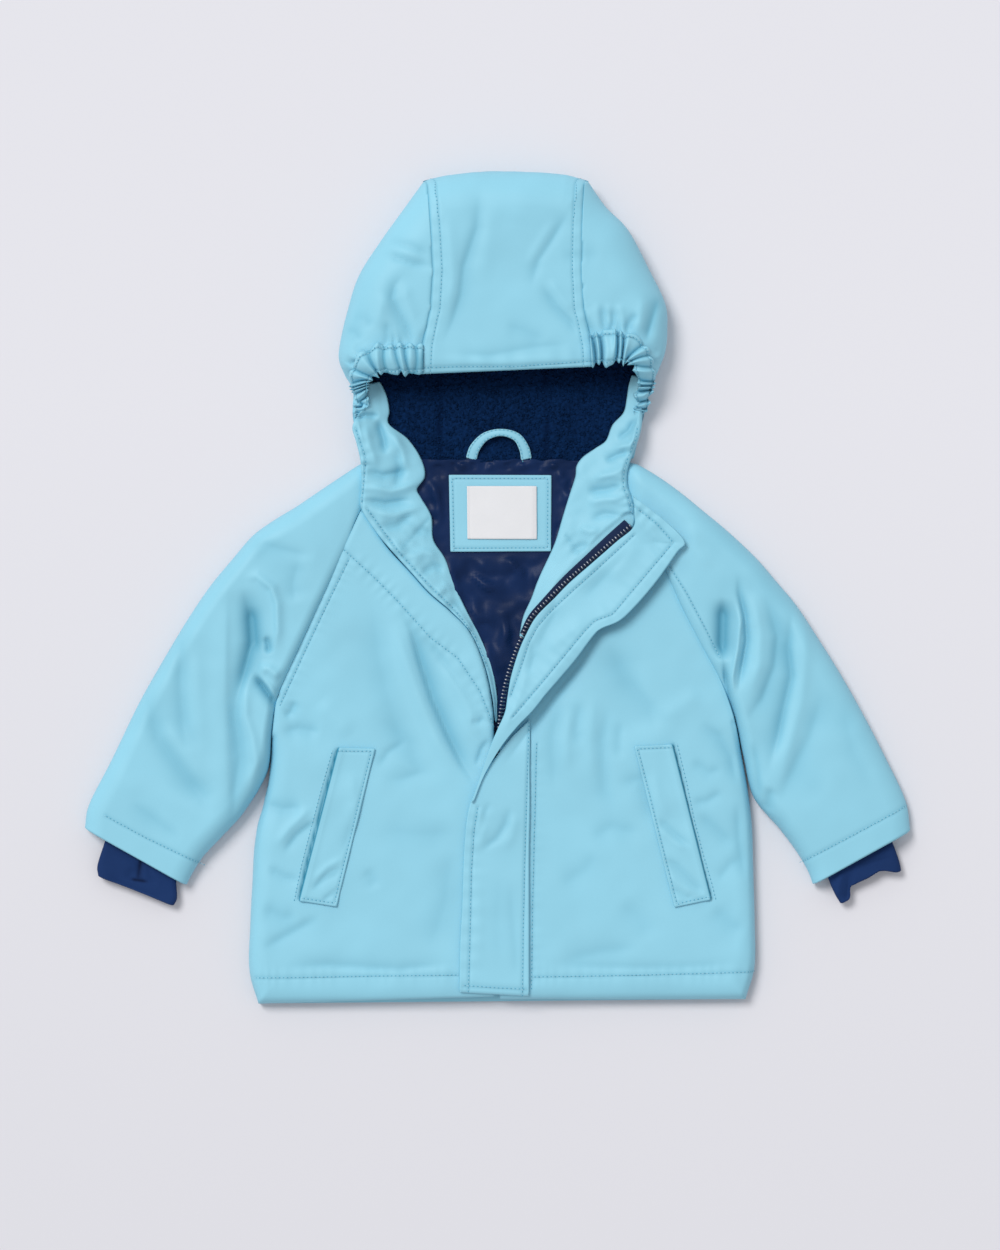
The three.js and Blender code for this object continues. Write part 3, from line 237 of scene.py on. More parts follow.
# x, y, half, lift
LOOP = table(
    (-20.5, 100.5, 3.9, 0), (-17.5, 109, 3.7, 2.5), (-9.5, 117.5, 3, 4.6), (2.5, 120.8, 2.5, 5.4),
    (14.5, 117.5, 3, 4.6), (20.5, 109, 3.6, 2.5), (22.5, 100.5, 3.9, 0),
)
LINES = {
    "raglan_topstitch_left": ((-115.4, 22.2), (-130.7, -9.4), (-150.2, -50.7), (-168.2, -89.7)),
    "raglan_topstitch_right": ((133.0, 17.2), (147.0, -4.7), (161.8, -32.8), (172.0, -53.0)),
    "band_stitch_left": ((-124.4, 34.3), (-95.5, 7.8), (-78.4, -9.4), (-52.6, -38.2),
        (-30.8, -54.6), (-13.7, -80.3), (-3.5, -106.1)),
    "facing_stitch_left": ((-108.4, 58.5), (-80.0, 22.6), (-51.1, -8.6), (-24.6, -35.9),
        (-12.1, -62.4), (-4.3, -96.7)),
    "hem_left": ((-188.4, -303.0), (-154.1, -302.6), (-91.7, -301.5), (-27.7, -300.6)),
    "hem_right": ((27.7, -302.2), (95.5, -301.1), (158.0, -299.5), (199.3, -298.3)),
    "flap_seam": ((24.6, -103.0), (23.0, -149.8), (21.1, -212.2), (19.9, -266.8), (19.4, -315.1)),
    "front_seam_right": ((30.4, -120.1), (28.9, -181.0), (27.3, -243.4), (26.5, -309.7)),
    "flap_edge_stitch": ((-15.2, -170.0), (-18.3, -188.8), (-20.3, -220.0), (-21.4, -274.6),
        (-22.6, -312.0)),
    "facing_edge_stitch": ((101.8, 66.3), (122.9, 49.9), (136.1, 35.1), (89.3, -20.3),
        (75.3, -25.7), (67.5, -33.5), (37.1, -70.2), (11.3, -100.6)),
    "sleeve_hem_left": ((-304.6, -177.1), (-273.8, -193.8), (-229.7, -214.9)),
    "sleeve_hem_right": ((318.6, -169.3), (274.9, -192.7), (236.7, -212.9)),
    "neck_edge_stitch_left": ((-110.0, 123.2), (-102.2, 100.6), (-105.7, 62.4)),
    "facing_seam_left": ((-80.7, 22.6), (-66.7, 39.0), (-53.4, 53.8)),
    "facing_seam_right": ((53.4, 40.6), (63.6, 26.5)),
    "neck_edge_stitch_right": ((108.8, 124.8), (107.2, 114.7), (101.8, 102.2), (98.3, 91.3),
        (97.5, 78.8), (101.8, 69.4), (104.1, 59.3)),
    "brim_stitch": ((-58.1, 169.7), (-26.1, 170.8), (13.7, 170.8), (73.7, 175.1)),
    "casing_end_left": ((-58.1, 184.1), (-59.3, 166.9)),
    "casing_end_right": ((75.3, 193.4), (76.8, 172.4)),
    "casing_stitch_left": ((-58.4, 184.1), (-72.2, 185.2), (-83.9, 185.6), (-94.8, 185.2),
        (-104.5, 183.3), (-110.8, 177.8)),
    "casing_stitch_right": ((74.5, 194.5), (88.5, 198.1), (100.2, 197.7), (109.6, 195.0),
        (115.0, 186.4), (117.4, 177.1)),
    "thumb_bar": ((-283.8, -226.9), (-274.2, -228.3)),
}
SLEEVE_DETAIL = (
    (((-197, 0), (-192, -22), (-191, -42), (-197, -66), (-203, -90)), 8, 5.5, -6.2),
    (((-201, -73), (-204, -97), (-202, -117), (-200, -131), (-204, -158), (-206, -187)), 7, 6, -2.8),
    (((-191.5, -14), (-188.4, -34.3), (-186, -52.3)), 6, 6, -2.4),
    (((-210.2, 4.7), (-211, -40.6), (-211.8, -87.4), (-210.2, -134.2), (-209.4, -177.1)), 3.5, 11, 1.8),
    (((-196, 8), (-186, 8.5), (-175, 0), (-171, -12), (-170.5, -34), (-173, -50)), 4.2, 2.6, 2.8),
    (((-179.8, -37.4), (-177.8, -44.5), (-177.5, -51.5)), 2.4, 2.6, -3.6),
    (((-190.7, -59.3), (-195.4, -79.6), (-195.4, -99.8), (-189.9, -117), (-186.8, -135.7), (-193.1, -157.6)), 4.5, 5, 2.6),
    (((-189, -67), (-182, -76), (-175, -86), (-170, -95)), 2, 3.6, -6),
    (((-186.8, -65.5), (-177.5, -74.9), (-168.9, -86.6), (-161.8, -97.5)), 1.8, 1.8, 1.6),
    (((-186, -62), (-177, -63), (-168, -70)), 4, 4, 2.6),
    (((-245.3, -28.9), (-246.1, -79.6), (-242.2, -127.9)), 7, 6, -2.2),
    (((-233.6, -40.6), (-232.8, -87.4), (-227.4, -131)), 7, 7, 1.3),
    (((-274.2, -79.6), (-263.2, -117), (-244.5, -143.5), (-228.9, -162.2), (-222.7, -179.4)), 8, 7, -2.4),
    (((-258.6, -103), (-244.5, -126.4), (-222.7, -151.3)), 7, 7, 1.2),
    (((-286.7, -165.4), (-264.8, -181), (-244.5, -196.6)), 5, 6, -1.5),
    (((-300.7, -149.8), (-271.1, -157.6), (-239.8, -174.7)), 8, 8, 1.1),
    (((-191.5, 36.7), (-168.1, 29.6), (-141.6, 24.2)), 5, 9, -1.5),
    (((-154.1, 21.8), (-158.7, 3.1), (-157.2, -12.5)), 9, 8, -1.7),
    (((-220.3, 21.8), (-232.1, -25), (-271.1, -87.4)), 12, 12, 0.9),
    (((175.1, -8.6), (174.7, -26.5), (174.3, -44.5), (175.9, -57.7)), 6.2, 5.4, -8.2),
    (((175.9, -56.2), (177.1, -73.3), (179.8, -87.4), (185.2, -104.5)), 2.4, 2.4, -4.8),
    (((185.2, -9.4), (188, -26.5), (186, -46.8), (182.1, -68.6), (182.1, -87.4)), 2.2, 2.2, 2.6),
    (((186.8, 10.1), (187.6, -4.7), (191.9, -21.8), (193.1, -40.6), (189.9, -59.3), (186, -81.1)), 3.2, 1.8, -3.8),
    (((198.5, -1.6), (203.2, -32.8), (202.4, -59.3), (193.8, -87.4)), 6, 6, 2),
    (((207.9, -6.2), (217.2, -37.4), (214.9, -60.8), (205.5, -85.8), (192.3, -104.5)), 8, 5, -3),
    (((228.2, -18.7), (225.8, -46.8), (228.2, -68.6), (222.7, -92), (218, -115.4), (210.2, -140.4)), 2.8, 6, -3.6),
    (((237.5, -18.7), (238.3, -56.2), (235.2, -88.9), (225, -126.4), (217.2, -157.6)), 6, 6, 1.8),
    (((253.1, -79.6), (242.2, -115.4), (225, -149.8), (217.2, -170)), 9, 7, -2),
    (((267.2, -87.4), (276.5, -127.9), (292.1, -160.7)), 9, 9, -1.1),
    (((212.6, -154.4), (210.2, -165.4), (207.9, -174.7)), 5, 5, -2.4),
    (((198.5, -118.6), (201.6, -142), (202.4, -165.4)), 4, 5, -2.2),
    (((158, 64.7), (189.2, 33.5), (236, -25)), 12, 10, -1),
    (((150.2, 53), (154.1, 29.6), (167.3, 14)), 6, 8, 1.1),
)
BODY_DETAIL = (
    (((-74.5, -18.7), (-67.5, -31.2), (-60.5, -56.2), (-50.3, -87.4), (-38.6, -114.7), (-26.9, -138.1), (-16, -154.4)), 7.5, 2.6, -4.6),
    (((-80.7, -26.5), (-69.8, -59.3), (-57.3, -93.6), (-44.9, -121.7), (-29.2, -148.2)), 4, 7, 1.8),
    (((-97.9, -9.4), (-91.7, -56.2), (-80, -103), (-66.7, -142)), 9, 12, -1.5),
    (((-44.9, -56.2), (-30.8, -78), (-21.4, -96.7), (-15.2, -118.6)), 5, 6, 1.6),
    (((-21.4, -104.5), (-15.2, -104.5), (-9, -99.8)), 2.2, 3, -1.5),
    (((-16.8, -138.8), (-12.1, -124.8), (-5.9, -117)), 2.2, 3, -1.6),
    (((-57.3, -37.4), (-40.2, -59.3), (-26.1, -79.6)), 3, 4, -1.3),
    (((-157.2, -87.4), (-160.3, -96.7), (-166.5, -99.8)), 4, 4, -2),
    (((-168.1, -112.3), (-154.1, -109.2), (-136.9, -112.3)), 5, 7, -1.8),
    (((-183.7, -166.9), (-166.5, -171.6), (-150.9, -170)), 6, 7, -1.9),
    (((-166.5, -205.9), (-155.6, -191.9), (-140, -179.4)), 2.6, 4.5, -2),
    (((-172.8, -201.2), (-161.8, -187.2), (-144.7, -170)), 4, 3, 1.2),
    (((-179, -216.8), (-165, -224.6), (-152.5, -227.8)), 3, 4, -1.4),
    (((-183.7, -248), (-166.5, -255.8), (-154.1, -254.3)), 6, 8, -1.5),
    (((-183.7, -280.8), (-161.8, -268.3), (-136.9, -254.3)), 3.4, 6, -1.6),
    (((-88.5, -99.8), (-68.2, -121.7), (-60.5, -143.5), (-72.9, -148.2), (-90.1, -149.8)), 6, 8, -1.4),
    (((-93.2, -140.4), (-85.4, -127.9), (-71.4, -118.6)), 3, 5, -1.3),
    (((-102.6, -218.4), (-97.9, -224.6), (-94.8, -234)), 4, 5, -1.2),
    (((-91.7, -188.8), (-60.5, -191.9), (-30.8, -190.3)), 8, 12, -0.9),
    (((-52.6, -282.4), (-40.2, -243.4), (-35.5, -204.4)), 10, 12, -1.2),
    (((-169.7, -294.8), (-130.7, -293.3), (-76, -296.4), (-32.4, -291.7)), 5.5, 2.4, -1.5),
    (((-138.5, -87.4), (-122.9, -103), (-113.5, -114.7)), 8, 9, 1.2),
    (((80, -35.9), (64.4, -59.3), (45.6, -82.7), (23.8, -112.3), (5.1, -137.3)), 6, 6, -3.4),
    (((83.1, -40.6), (100.2, -71.8), (117.4, -92), (125.2, -117)), 9, 12, -2.3),
    (((48.8, -87.4), (42.5, -118.6), (44.9, -157.6)), 5, 6, -1.2),
    (((64.4, -87.4), (61.2, -110.8), (64.4, -124.8)), 3.5, 5, -1.2),
    (((56.6, -92), (53.4, -120.1), (55, -142)), 4, 4, 1),
    (((86.2, -90.5), (81.5, -118.6), (83.1, -157.6), (92.4, -177.8)), 5, 7, -1.6),
    (((75.3, -79.6), (72.2, -118.6), (73.7, -149.8)), 5, 5, 1.1),
    (((95.5, -103), (94, -123.2), (95.5, -134.2)), 3, 4, -1.1),
    (((92.4, -152.9), (111.2, -148.2), (115.8, -165.4), (120.5, -184.1)), 5, 6, -1.3),
    (((72.2, -195), (87.8, -185.6), (111.2, -190.3)), 6, 8, -1.3),
    (((48.8, -230.9), (69, -218.4), (76.8, -204.4)), 7, 8, -1),
    (((48.8, -290.2), (80, -282.4), (111.2, -279.2)), 6, 8, -1.2),
    (((158, -104.5), (172, -115.4), (181.3, -131), (186, -154.4)), 4, 7, -2),
    (((150.2, -134.2), (164.2, -143.5), (175.1, -140.4)), 4, 5, -1.2),
    (((150.2, -166.9), (162.6, -165.4), (175.1, -157.6)), 3, 5, -1.3),
    (((154.8, -174.7), (170.4, -188.8), (184.5, -201.2)), 5, 6, -1.6),
    (((186, -165.4), (187.6, -196.6), (192.3, -227.8)), 5, 5, -1.8),
    (((167.3, -247.3), (181.3, -262.9), (193.8, -266.8)), 7, 8, -1.4),
    (((126.8, -103), (145.5, -90.5), (158, -79.6)), 8, 9, 1.3),
    (((170.4, -227.8), (181.3, -213.7), (190.7, -210.6)), 4, 5, -1.1),
    (((95.5, -243.4), (111.2, -259), (119, -274.6)), 8, 8, -0.9),
    (((37.1, -291.7), (80, -294.8), (142.3, -294.8), (189.2, -291.7)), 4, 2.2, -1),
    (((126.8, -134.2), (119, -87.4), (111.2, -56.2)), 14, 14, 1),
)
HOOD_DETAIL = (
    (((-85.4, 269.1), (-68.2, 264.4), (-51.1, 255.8)), 3.5, 4, -1.4),
    (((-88.5, 260.5), (-77.6, 254.3), (-63.6, 249.6), (-49.5, 248)), 4, 2.6, -2),
    (((-87, 265.2), (-72.9, 259.7), (-55.8, 253.5)), 3, 3, 1),
    (((-72.9, 241.8), (-80, 232.4), (-81.5, 223.1), (-76.8, 212.2), (-70.6, 201.2), (-67.5, 191.1), (-70.6, 177.8)), 2.6, 5.5, -2.8),
    (((-69.8, 237.1), (-70.6, 224.6), (-65.9, 210.6), (-61.2, 195)), 5, 5, 1.7),
    (((-85.4, 227.8), (-90.1, 215.3), (-93.2, 201.2)), 5, 6, 1.2),
    (((-86.2, 205.9), (-83.9, 195), (-82.3, 185.6)), 3.6, 3.6, -1.8),
    (((-97.9, 199.7), (-102.6, 207.5), (-113.5, 210.6)), 6, 6, -1.4),
    (((-13.7, 305.8), (-16, 277.7), (-26.1, 248), (-28.5, 226.2), (-34.7, 205.9), (-42.5, 187.2)), 7, 4, -2.7),
    (((-38.6, 290.2), (-35.5, 259), (-33.9, 237.1), (-38.6, 207.5)), 6, 5, 1.5),
    (((-4.3, 298.7), (-7.4, 271.4), (-12.1, 232.4)), 8, 9, 1.2),
    (((55, 290.2), (42.5, 269.1), (31.6, 252.7), (25.4, 230.9)), 3.4, 6, -2.2),
    (((45.6, 285.5), (33.9, 266.8), (22.2, 246.5)), 6, 4, 1.3),
    (((33.9, 234), (45.6, 216.1), (56.6, 205.1), (62.8, 192.7)), 2.6, 4.5, -2),
    (((39.4, 238.7), (50.3, 223.1), (59.7, 210.6)), 4, 4, 1.2),
    (((5.9, 202.8), (21.4, 198.1), (37.8, 189.5)), 6, 8, -1.3),
    (((-35.5, 181), (-5.9, 179.4), (26.9, 185.6), (60.5, 188.8)), 4, 5, -1.2),
    (((-44.9, 174.7), (2, 173.2), (56.6, 177.8)), 4, 4, 0.7),
    (((125.2, 227.8), (120.5, 210.6), (114.3, 188.8)), 3.2, 5, -4.4),
    (((128.3, 220), (126.8, 201.2), (120.5, 184.1)), 4, 4, 1.6),
    (((112.7, 224.6), (111.2, 212.2), (108, 196.6)), 4, 4, 1.4),
    (((80.7, 218.4), (81.5, 209), (83.1, 196.6)), 3, 3, -2),
    (((88.5, 215.3), (89.3, 205.9), (90.9, 198.1)), 3, 3, -2.2),
    (((76.8, 220), (77.6, 209), (78.4, 198.1)), 3, 3, 1.3),
    (((85.4, 220), (86.2, 210.6), (87, 199.7)), 3, 3, 1.4),
    (((94, 220), (95.5, 210.6), (94.8, 199.7)), 3.5, 3, 1.5),
    (((108, 212.2), (101.8, 204.4), (99.5, 196.6)), 3, 3, -2.4),
    (((67.5, 210.6), (70.6, 202.8), (72.2, 195)), 3, 3, -1.3),
    (((48.8, 254.3), (59.7, 257.4), (80, 255.8)), 7, 8, -1),
    (((17.6, 318.2), (20.7, 302.6), (16, 279.2)), 16, 16, 1),
    (((-118.2, 201.2), (-110.4, 198.1), (-105.7, 190.3)), 3.5, 4, -1.8),
    (((-119, 168.5), (-111.9, 174.7), (-105.7, 176.3)), 3, 3, -1.8),
)
NECK_DETAIL = (
    (((-112.7, 131), (-102.6, 134.2), (-91.7, 133.4)), 2.4, 2.4, -2.6),
    (((-93.2, 131), (-88.5, 115.4), (-87, 103)), 2.4, 3.4, -2.8),
    (((-102.6, 127.9), (-99.5, 110.8), (-93.2, 92)), 4, 4, 1.8),
    (((-82.3, 121.7), (-74.5, 106.1), (-71.4, 88.9)), 4, 4, 1.8),
    (((-77.6, 109.2), (-76, 92), (-79.2, 76.4)), 3, 3, -1.8),
    (((-104.1, 92), (-88.5, 87.4), (-68.2, 92)), 3, 4, -2.2),
    (((-102.6, 79.6), (-82.3, 74.9), (-60.5, 81.1)), 3, 4, 1.6),
    (((-104.1, 68.6), (-87, 65.5), (-66.7, 68.6)), 3, 3.4, -2.2),
    (((-97.9, 59.3), (-79.2, 56.2), (-57.3, 64)), 3, 3, 1.6),
    (((-91.7, 46.8), (-77.6, 48.4), (-65.1, 59.3)), 3, 4, -2),
    (((-88.5, 28.1), (-77.6, 31.2), (-69.8, 25)), 3, 4, 1.5),
    (((-66.7, 40.6), (-57.3, 45.2), (-48, 40.6)), 3, 4, -1.6),
    (((-69.8, 21.8), (-57.3, 28.1), (-44.9, 25)), 3, 4, 1.6),
    (((-60.5, 10.9), (-49.5, 17.2), (-40.2, 14)), 3, 3.4, -1.8),
    (((-48, -6.2), (-40.2, 1.6), (-32.4, -1.6)), 3, 4, 1.4),
    (((-40.2, -21.8), (-32.4, -12.5), (-26.1, -14)), 3, 4, -1.6),
    (((-26.1, -35.9), (-23, -28.1), (-18.3, -31.2)), 3, 3, 1.2),
    (((-27.7, -49.9), (-19.9, -43.7), (-15.2, -48.4)), 3, 3, -1.4),
    (((108, 132.6), (101.8, 121.7), (92.4, 115.4)), 3, 3, -2),
    (((111.2, 118.6), (101.8, 110.8), (89.3, 107.6)), 3, 3, 1.6),
    (((103.4, 106.1), (92.4, 103), (83.1, 98.3)), 3, 3.4, -2),
    (((100.2, 92), (86.2, 87.4), (73.7, 84.2)), 3, 4, 1.6),
    (((98.7, 81.1), (84.6, 76.4), (69, 74.9)), 3, 4, -2),
    (((98.7, 68.6), (83.1, 68.6), (69, 65.5)), 3.4, 3.4, 1.4),
    (((97.1, 56.2), (83.1, 57.7), (72.2, 53)), 3, 3, -1.5),
    (((80, 45.2), (72.2, 43.7), (62.8, 46.8)), 3, 3, 1.2),
    (((72.2, 31.2), (64.4, 32.8), (56.6, 28.1)), 3, 3, -1.3),
)
LINES["pocket_slit_left"] = ((-124.5, -126), (-132, -153), (-140, -183), (-148, -214), (-153.5, -240))
LINES["pocket_slit_right"] = ((136.2, -122.5), (142.5, -150), (149, -181), (156, -209), (163, -232), (165.4, -241))
LINES["pocket_side_left"] = ((-128.3, -127), (-136, -154), (-144, -184), (-152, -215), (-157.4, -241))
LINES["pocket_side_right"] = ((139.6, -121.5), (146.3, -149), (152.8, -180), (160, -208), (166.8, -231), (169, -240))
LINES["thumb_slit"] = ((-277.4, -213), (-278.2, -219.5), (-279, -226.5))
LINES["flap_hem"] = ((-26.5, -308.5), (0, -310.5), (22, -311.5))
LINES["facing_inner_stitch"] = ((106, 41), (76, 13.5), (58, -2.5), (41, -18.5), (31, -30), (24.5, -42), (18, -62), (10, -84))
LINES["facing_zip_stitch_left"] = ((-101, 61), (-76, 27), (-50, -1), (-33, -17), (-18, -37), (-7.5, -62))
LINING_DETAIL = (
    (((-48, 96.7), (-44.9, 90.5), (-40.2, 87.4)), 2.2, 2.6, -1.5),
    (((-35.5, 98.3), (-32.4, 92), (-30.8, 85.8)), 1.6, 1.8, -1.4),
    (((-27.7, 98.3), (-26.9, 93.6), (-27.7, 88.9)), 1.6, 1.8, 1.2),
    (((-19.9, 98.3), (-18.3, 93.6), (-19.9, 88.9)), 1.5, 1.7, -1.3),
    (((-5.9, 98.3), (-5.9, 93.6), (-4.3, 88.9)), 1.6, 1.8, 1.2),
    (((6.6, 98.3), (8.2, 93.6), (6.6, 88.9)), 1.5, 1.7, -1.3),
    (((19.1, 98.3), (19.1, 92), (22.2, 88.9)), 1.6, 1.8, 1.2),
    (((31.6, 98.3), (33.1, 92), (36.3, 87.4)), 1.6, 1.8, -1.4),
    (((42.5, 98.3), (45.6, 90.5), (50.3, 84.2)), 2.2, 2.6, 1.4),
    (((53.4, 95.2), (56.6, 84.2), (55, 71.8)), 2.4, 2.8, -1.6),
    (((-52.6, 84.2), (-46.4, 68.6), (-41.7, 48.4)), 3, 3.4, 1.5),
    (((-43.3, 78), (-40.2, 62.4), (-40.2, 45.2)), 2, 2.6, -1.6),
    (((-38.6, 21.8), (-33.9, 6.2), (-29.2, -14)), 3, 3, 1.5),
    (((-27.7, 25), (-18.3, 12.5), (-4.3, 7.8), (9.8, 12.5)), 2.6, 3, -1.7),
    (((-23, 17.2), (-12.1, 3.1), (2, -1.6)), 2.6, 3, 1.7),
    (((-18.3, 6.2), (-10.5, -7.8), (3.5, -12.5), (16, -7.8)), 2.4, 3, -1.5),
    (((6.6, 25), (14.4, 15.6), (25.4, 10.9)), 2.4, 3, 1.5),
    (((17.6, 21.8), (25.4, 6.2), (23.8, -9.4)), 2.4, 3, -1.4),
    (((-21.4, -12.5), (-12.1, -23.4), (0.4, -26.5)), 2.6, 3, 1.6),
    (((-15.2, -20.3), (-5.9, -34.3), (-1.2, -48.4)), 2.2, 2.8, -1.5),
    (((2, -17.2), (6.6, -31.2), (5.1, -48.4)), 2.6, 3, 1.4),
    (((9.8, -18.7), (12.9, -32.8), (9.8, -48.4)), 2.2, 2.6, -1.4),
    (((-10.5, -40.6), (-5.9, -56.2), (-1.2, -74.9)), 2.4, 2.8, 1.2),
    (((39.4, 25), (44.1, 37.4), (48.8, 53)), 2.6, 3, -1.5),
    (((45.6, 25), (50.3, 40.6), (53.4, 59.3)), 2.6, 3, 1.4),
)
FLAP_DETAIL = (
    (((-15.2, -170), (-10.5, -185.6), (-13.7, -202.8)), 3, 3, 0.9),
    (((9.8, -170), (6.6, -184.1), (-0.4, -195), (-13.7, -204.4)), 2.2, 3.4, -1.6),
    (((-5.9, -165.4), (-10.5, -177.8), (-12.1, -191.9)), 2.4, 2.6, -1),
    (((14.4, -174.7), (11.3, -191.9), (3.5, -204.4)), 4, 4, 0.8),
    (((2, -220), (0.4, -259), (2, -298)), 8, 8, -0.6),
    (((9.8, -227.8), (12.9, -266.8), (16, -305.8)), 5, 4, -0.8),
    (((-15.2, -220), (-13.7, -259), (-15.2, -298)), 4, 6, 0.6),
)
TURN_DETAIL = (
    (((111.2, 37.4), (97.1, 20.3), (84.6, 4.7)), 7, 9, 1.5),
    (((103.4, 29.6), (83.1, 7.8), (65.9, -9.4)), 7, 6, -1.6),
    (((70.6, -23.4), (53.4, -35.9), (36.3, -49.9)), 6, 8, 1.2),
    (((48.8, -12.5), (39.4, -29.6), (30, -49.9)), 6, 6, -1.4),
    (((25.4, -56.2), (17.6, -82.7), (5.1, -112.3)), 4, 4, 0.9),
    (((125.2, 34.3), (115.8, 45.2), (109.6, 54.6)), 4, 4, 0.9),
    (((36.3, 21.8), (45.6, -1.6), (42.5, -23.4)), 4, 6, -1.2),
    (((80, 25), (70.6, 10.9), (56.6, -1.6)), 5, 5, 1),
    (((25.4, -40.6), (28.5, -53), (23.8, -68.6)), 3, 4, -1.2),
)
CUFF_CREASE_LEFT = (
    (((-303.8, -205.9), (-283.5, -216.8), (-263.2, -226.2), (-246.1, -232.4)), 4, 5, 0.9),
    (((-306.9, -221.5), (-288.2, -232.4), (-260.1, -241.8)), 3, 4, -0.8),
    (((-277.3, -213.7), (-278.1, -220), (-279.6, -224.6)), 1.5, 1.5, -2),
    (((-282, -216.8), (-285.1, -223.1), (-289.8, -227.8)), 1.8, 2.2, -1.1),
    (((-272.6, -216.8), (-269.5, -224.6), (-264.8, -230.9)), 1.8, 2.2, -1),
    (((-310.1, -210.6), (-311.6, -218.4), (-312.4, -227.8)), 3, 3, -0.8),
)
CUFF_CREASE_RIGHT = (
    (((274.9, -221.5), (273.4, -232.4), (271.8, -244.9)), 1.6, 3.4, -1.8),
    (((268.7, -218.4), (265.6, -230.9), (264, -243.4)), 3.4, 3.4, 1.3),
    (((279.6, -216.8), (293.7, -213.7), (307.7, -209)), 3, 3.4, -1.3),
    (((281.2, -224.6), (296.8, -223.1), (312.4, -218.4)), 3, 3.4, 1),
    (((276.5, -229.3), (292.1, -232.4), (306.2, -230.9)), 2.2, 3, -1.1),
    (((245.3, -227.8), (254.7, -235.6), (260.9, -243.4)), 3, 3, -0.7),
)
POCKET_DETAIL = (
    (((-113.5, -142), (-110.4, -165.4), (-116.6, -188.8)), 5, 6, 0.9),
    (((-110.4, -170), (-115, -188.8), (-119.7, -205.9)), 3, 4, -0.9),
    (((-144.7, -235.6), (-133.8, -224.6), (-119.7, -216.8)), 2.4, 3.6, -1.5),
    (((-136.9, -243.4), (-127.5, -237.1), (-121.3, -232.4)), 2, 3, -1.2),
    (((-143.1, -227.8), (-132.2, -216.8), (-118.2, -209)), 3, 3, 0.9),
    (((120.5, -140.4), (125.2, -165.4), (133, -181)), 5, 6, 0.8),
    (((123.6, -177.8), (133, -187.2), (142.3, -195), (150.2, -201.2)), 2.6, 3.4, -1.4),
    (((125.2, -185.6), (136.1, -196.6), (147, -204.4)), 3, 3, 0.8),
    (((128.3, -209), (139.2, -216.8), (150.2, -227.8), (161.1, -237.1)), 2.6, 3.4, -1.6),
    (((131.4, -221.5), (142.3, -230.9), (154.8, -238.7)), 2.4, 2.6, 0.8),
    (((134.6, -232.4), (145.5, -240.2), (153.3, -240.2)), 2, 2.4, -1),
)
BACK_DETAIL = (
    (((-154.1, -40.6), (-91.7, -87.4), (-21.4, -103)), 14, 18, 1),
    (((150.2, -48.4), (95.5, -103), (33.1, -118.6)), 14, 18, 1),
    (((-130.7, -165.4), (-76, -196.6), (-52.6, -266.8)), 16, 14, 0.9),
    (((119, -157.6), (80, -212.2), (87.8, -274.6)), 16, 14, 0.9),
    (((-13.7, -25), (2, -87.4), (-2.7, -165.4)), 12, 12, 0.8),
    (((-161.8, -243.4), (-107.2, -266.8), (-60.5, -290.2)), 10, 12, 0.8),
    (((158, -243.4), (119, -274.6), (72.2, -286.3)), 10, 12, 0.8),
)
QUILT_PITCH = 34
SEAM_TOUCH = 0.04
RAGLAN_LAP = 0.9
HOOD_SHARE = 0.75
NECK_SHARE = 1.4
FOLD_SHARE = 1.2
CREASE = 1.35
ROLL = 1.8


# Small helpers, for numbers and arrays alike
def smooth(t):
    t = np.clip(t, 0, 1)
    return t * t * (3 - 2 * t)


def rounded(t):
    return np.sqrt(1 - (1 - np.clip(t, 0, 1)) ** 2)


def mix(a, b, t):
    return a + (b - a) * t


def crowd(t, pull):
    return t - pull * np.sin(2 * np.pi * t)


def bell(far, wide):
    return np.exp(-((far / wide) ** 2))


def spline(values, t):
    """Value of a smooth curve through evenly spaced numbers, at places t from 0 to 1."""
    values = np.asarray(values, float)
    last = len(values) - 1
    at = np.clip(np.asarray(t, float), 0, 1) * last
    i = np.minimum(last - 1, np.floor(at)).astype(int)
    f = at - i
    start, end = 2 * values[0] - values[1], 2 * values[-1] - values[-2]
    padded = np.concatenate([[start], values, [end]])
    p0, p1, p2, p3 = (padded[i + k] for k in range(4))
    bend = 2 * p0 - 5 * p1 + 4 * p2 - p3
    twist = 3 * p1 - p0 - 3 * p2 + p3
    return 0.5 * (2 * p1 + (p2 - p0) * f + bend * f * f + twist * f**3)


def curve(rows, at, count):
    """Points along the two columns of a table that start at number at."""
    t = np.linspace(0, 1, count + 1)
    return np.stack([spline(rows[:, at], t), spline(rows[:, at + 1], t)], 1)


def near(line, x, y):
    """Nearest place on a broken line: how far, on which side, how far along, and the way across."""
    line = np.asarray(line, float)
    far = np.full(np.shape(x), np.inf)
    side, along, nx, ny = (np.zeros(np.shape(x)) for _ in range(4))
    gone = 0.0
    for (ax, ay), (bx, by) in zip(line[:-1], line[1:]):
        dx, dy = bx - ax, by - ay
        long = max(math.hypot(dx, dy), 1e-9)
        t = np.clip(((x - ax) * dx + (y - ay) * dy) / long**2, 0, 1)
        ox, oy = x - ax - t * dx, y - ay - t * dy
        gap = np.hypot(ox, oy)
        closer = gap < far
        far = np.where(closer, gap, far)
        side = np.where(closer, np.sign(oy * dx - ox * dy), side)
        along = np.where(closer, gone + t * long, along)
        nx = np.where(closer, -dy / long, nx)
        ny = np.where(closer, dx / long, ny)
        gone += long
    return far, side, along, nx, ny


def distance(line, x, y):
    return near(line, x, y)[0]


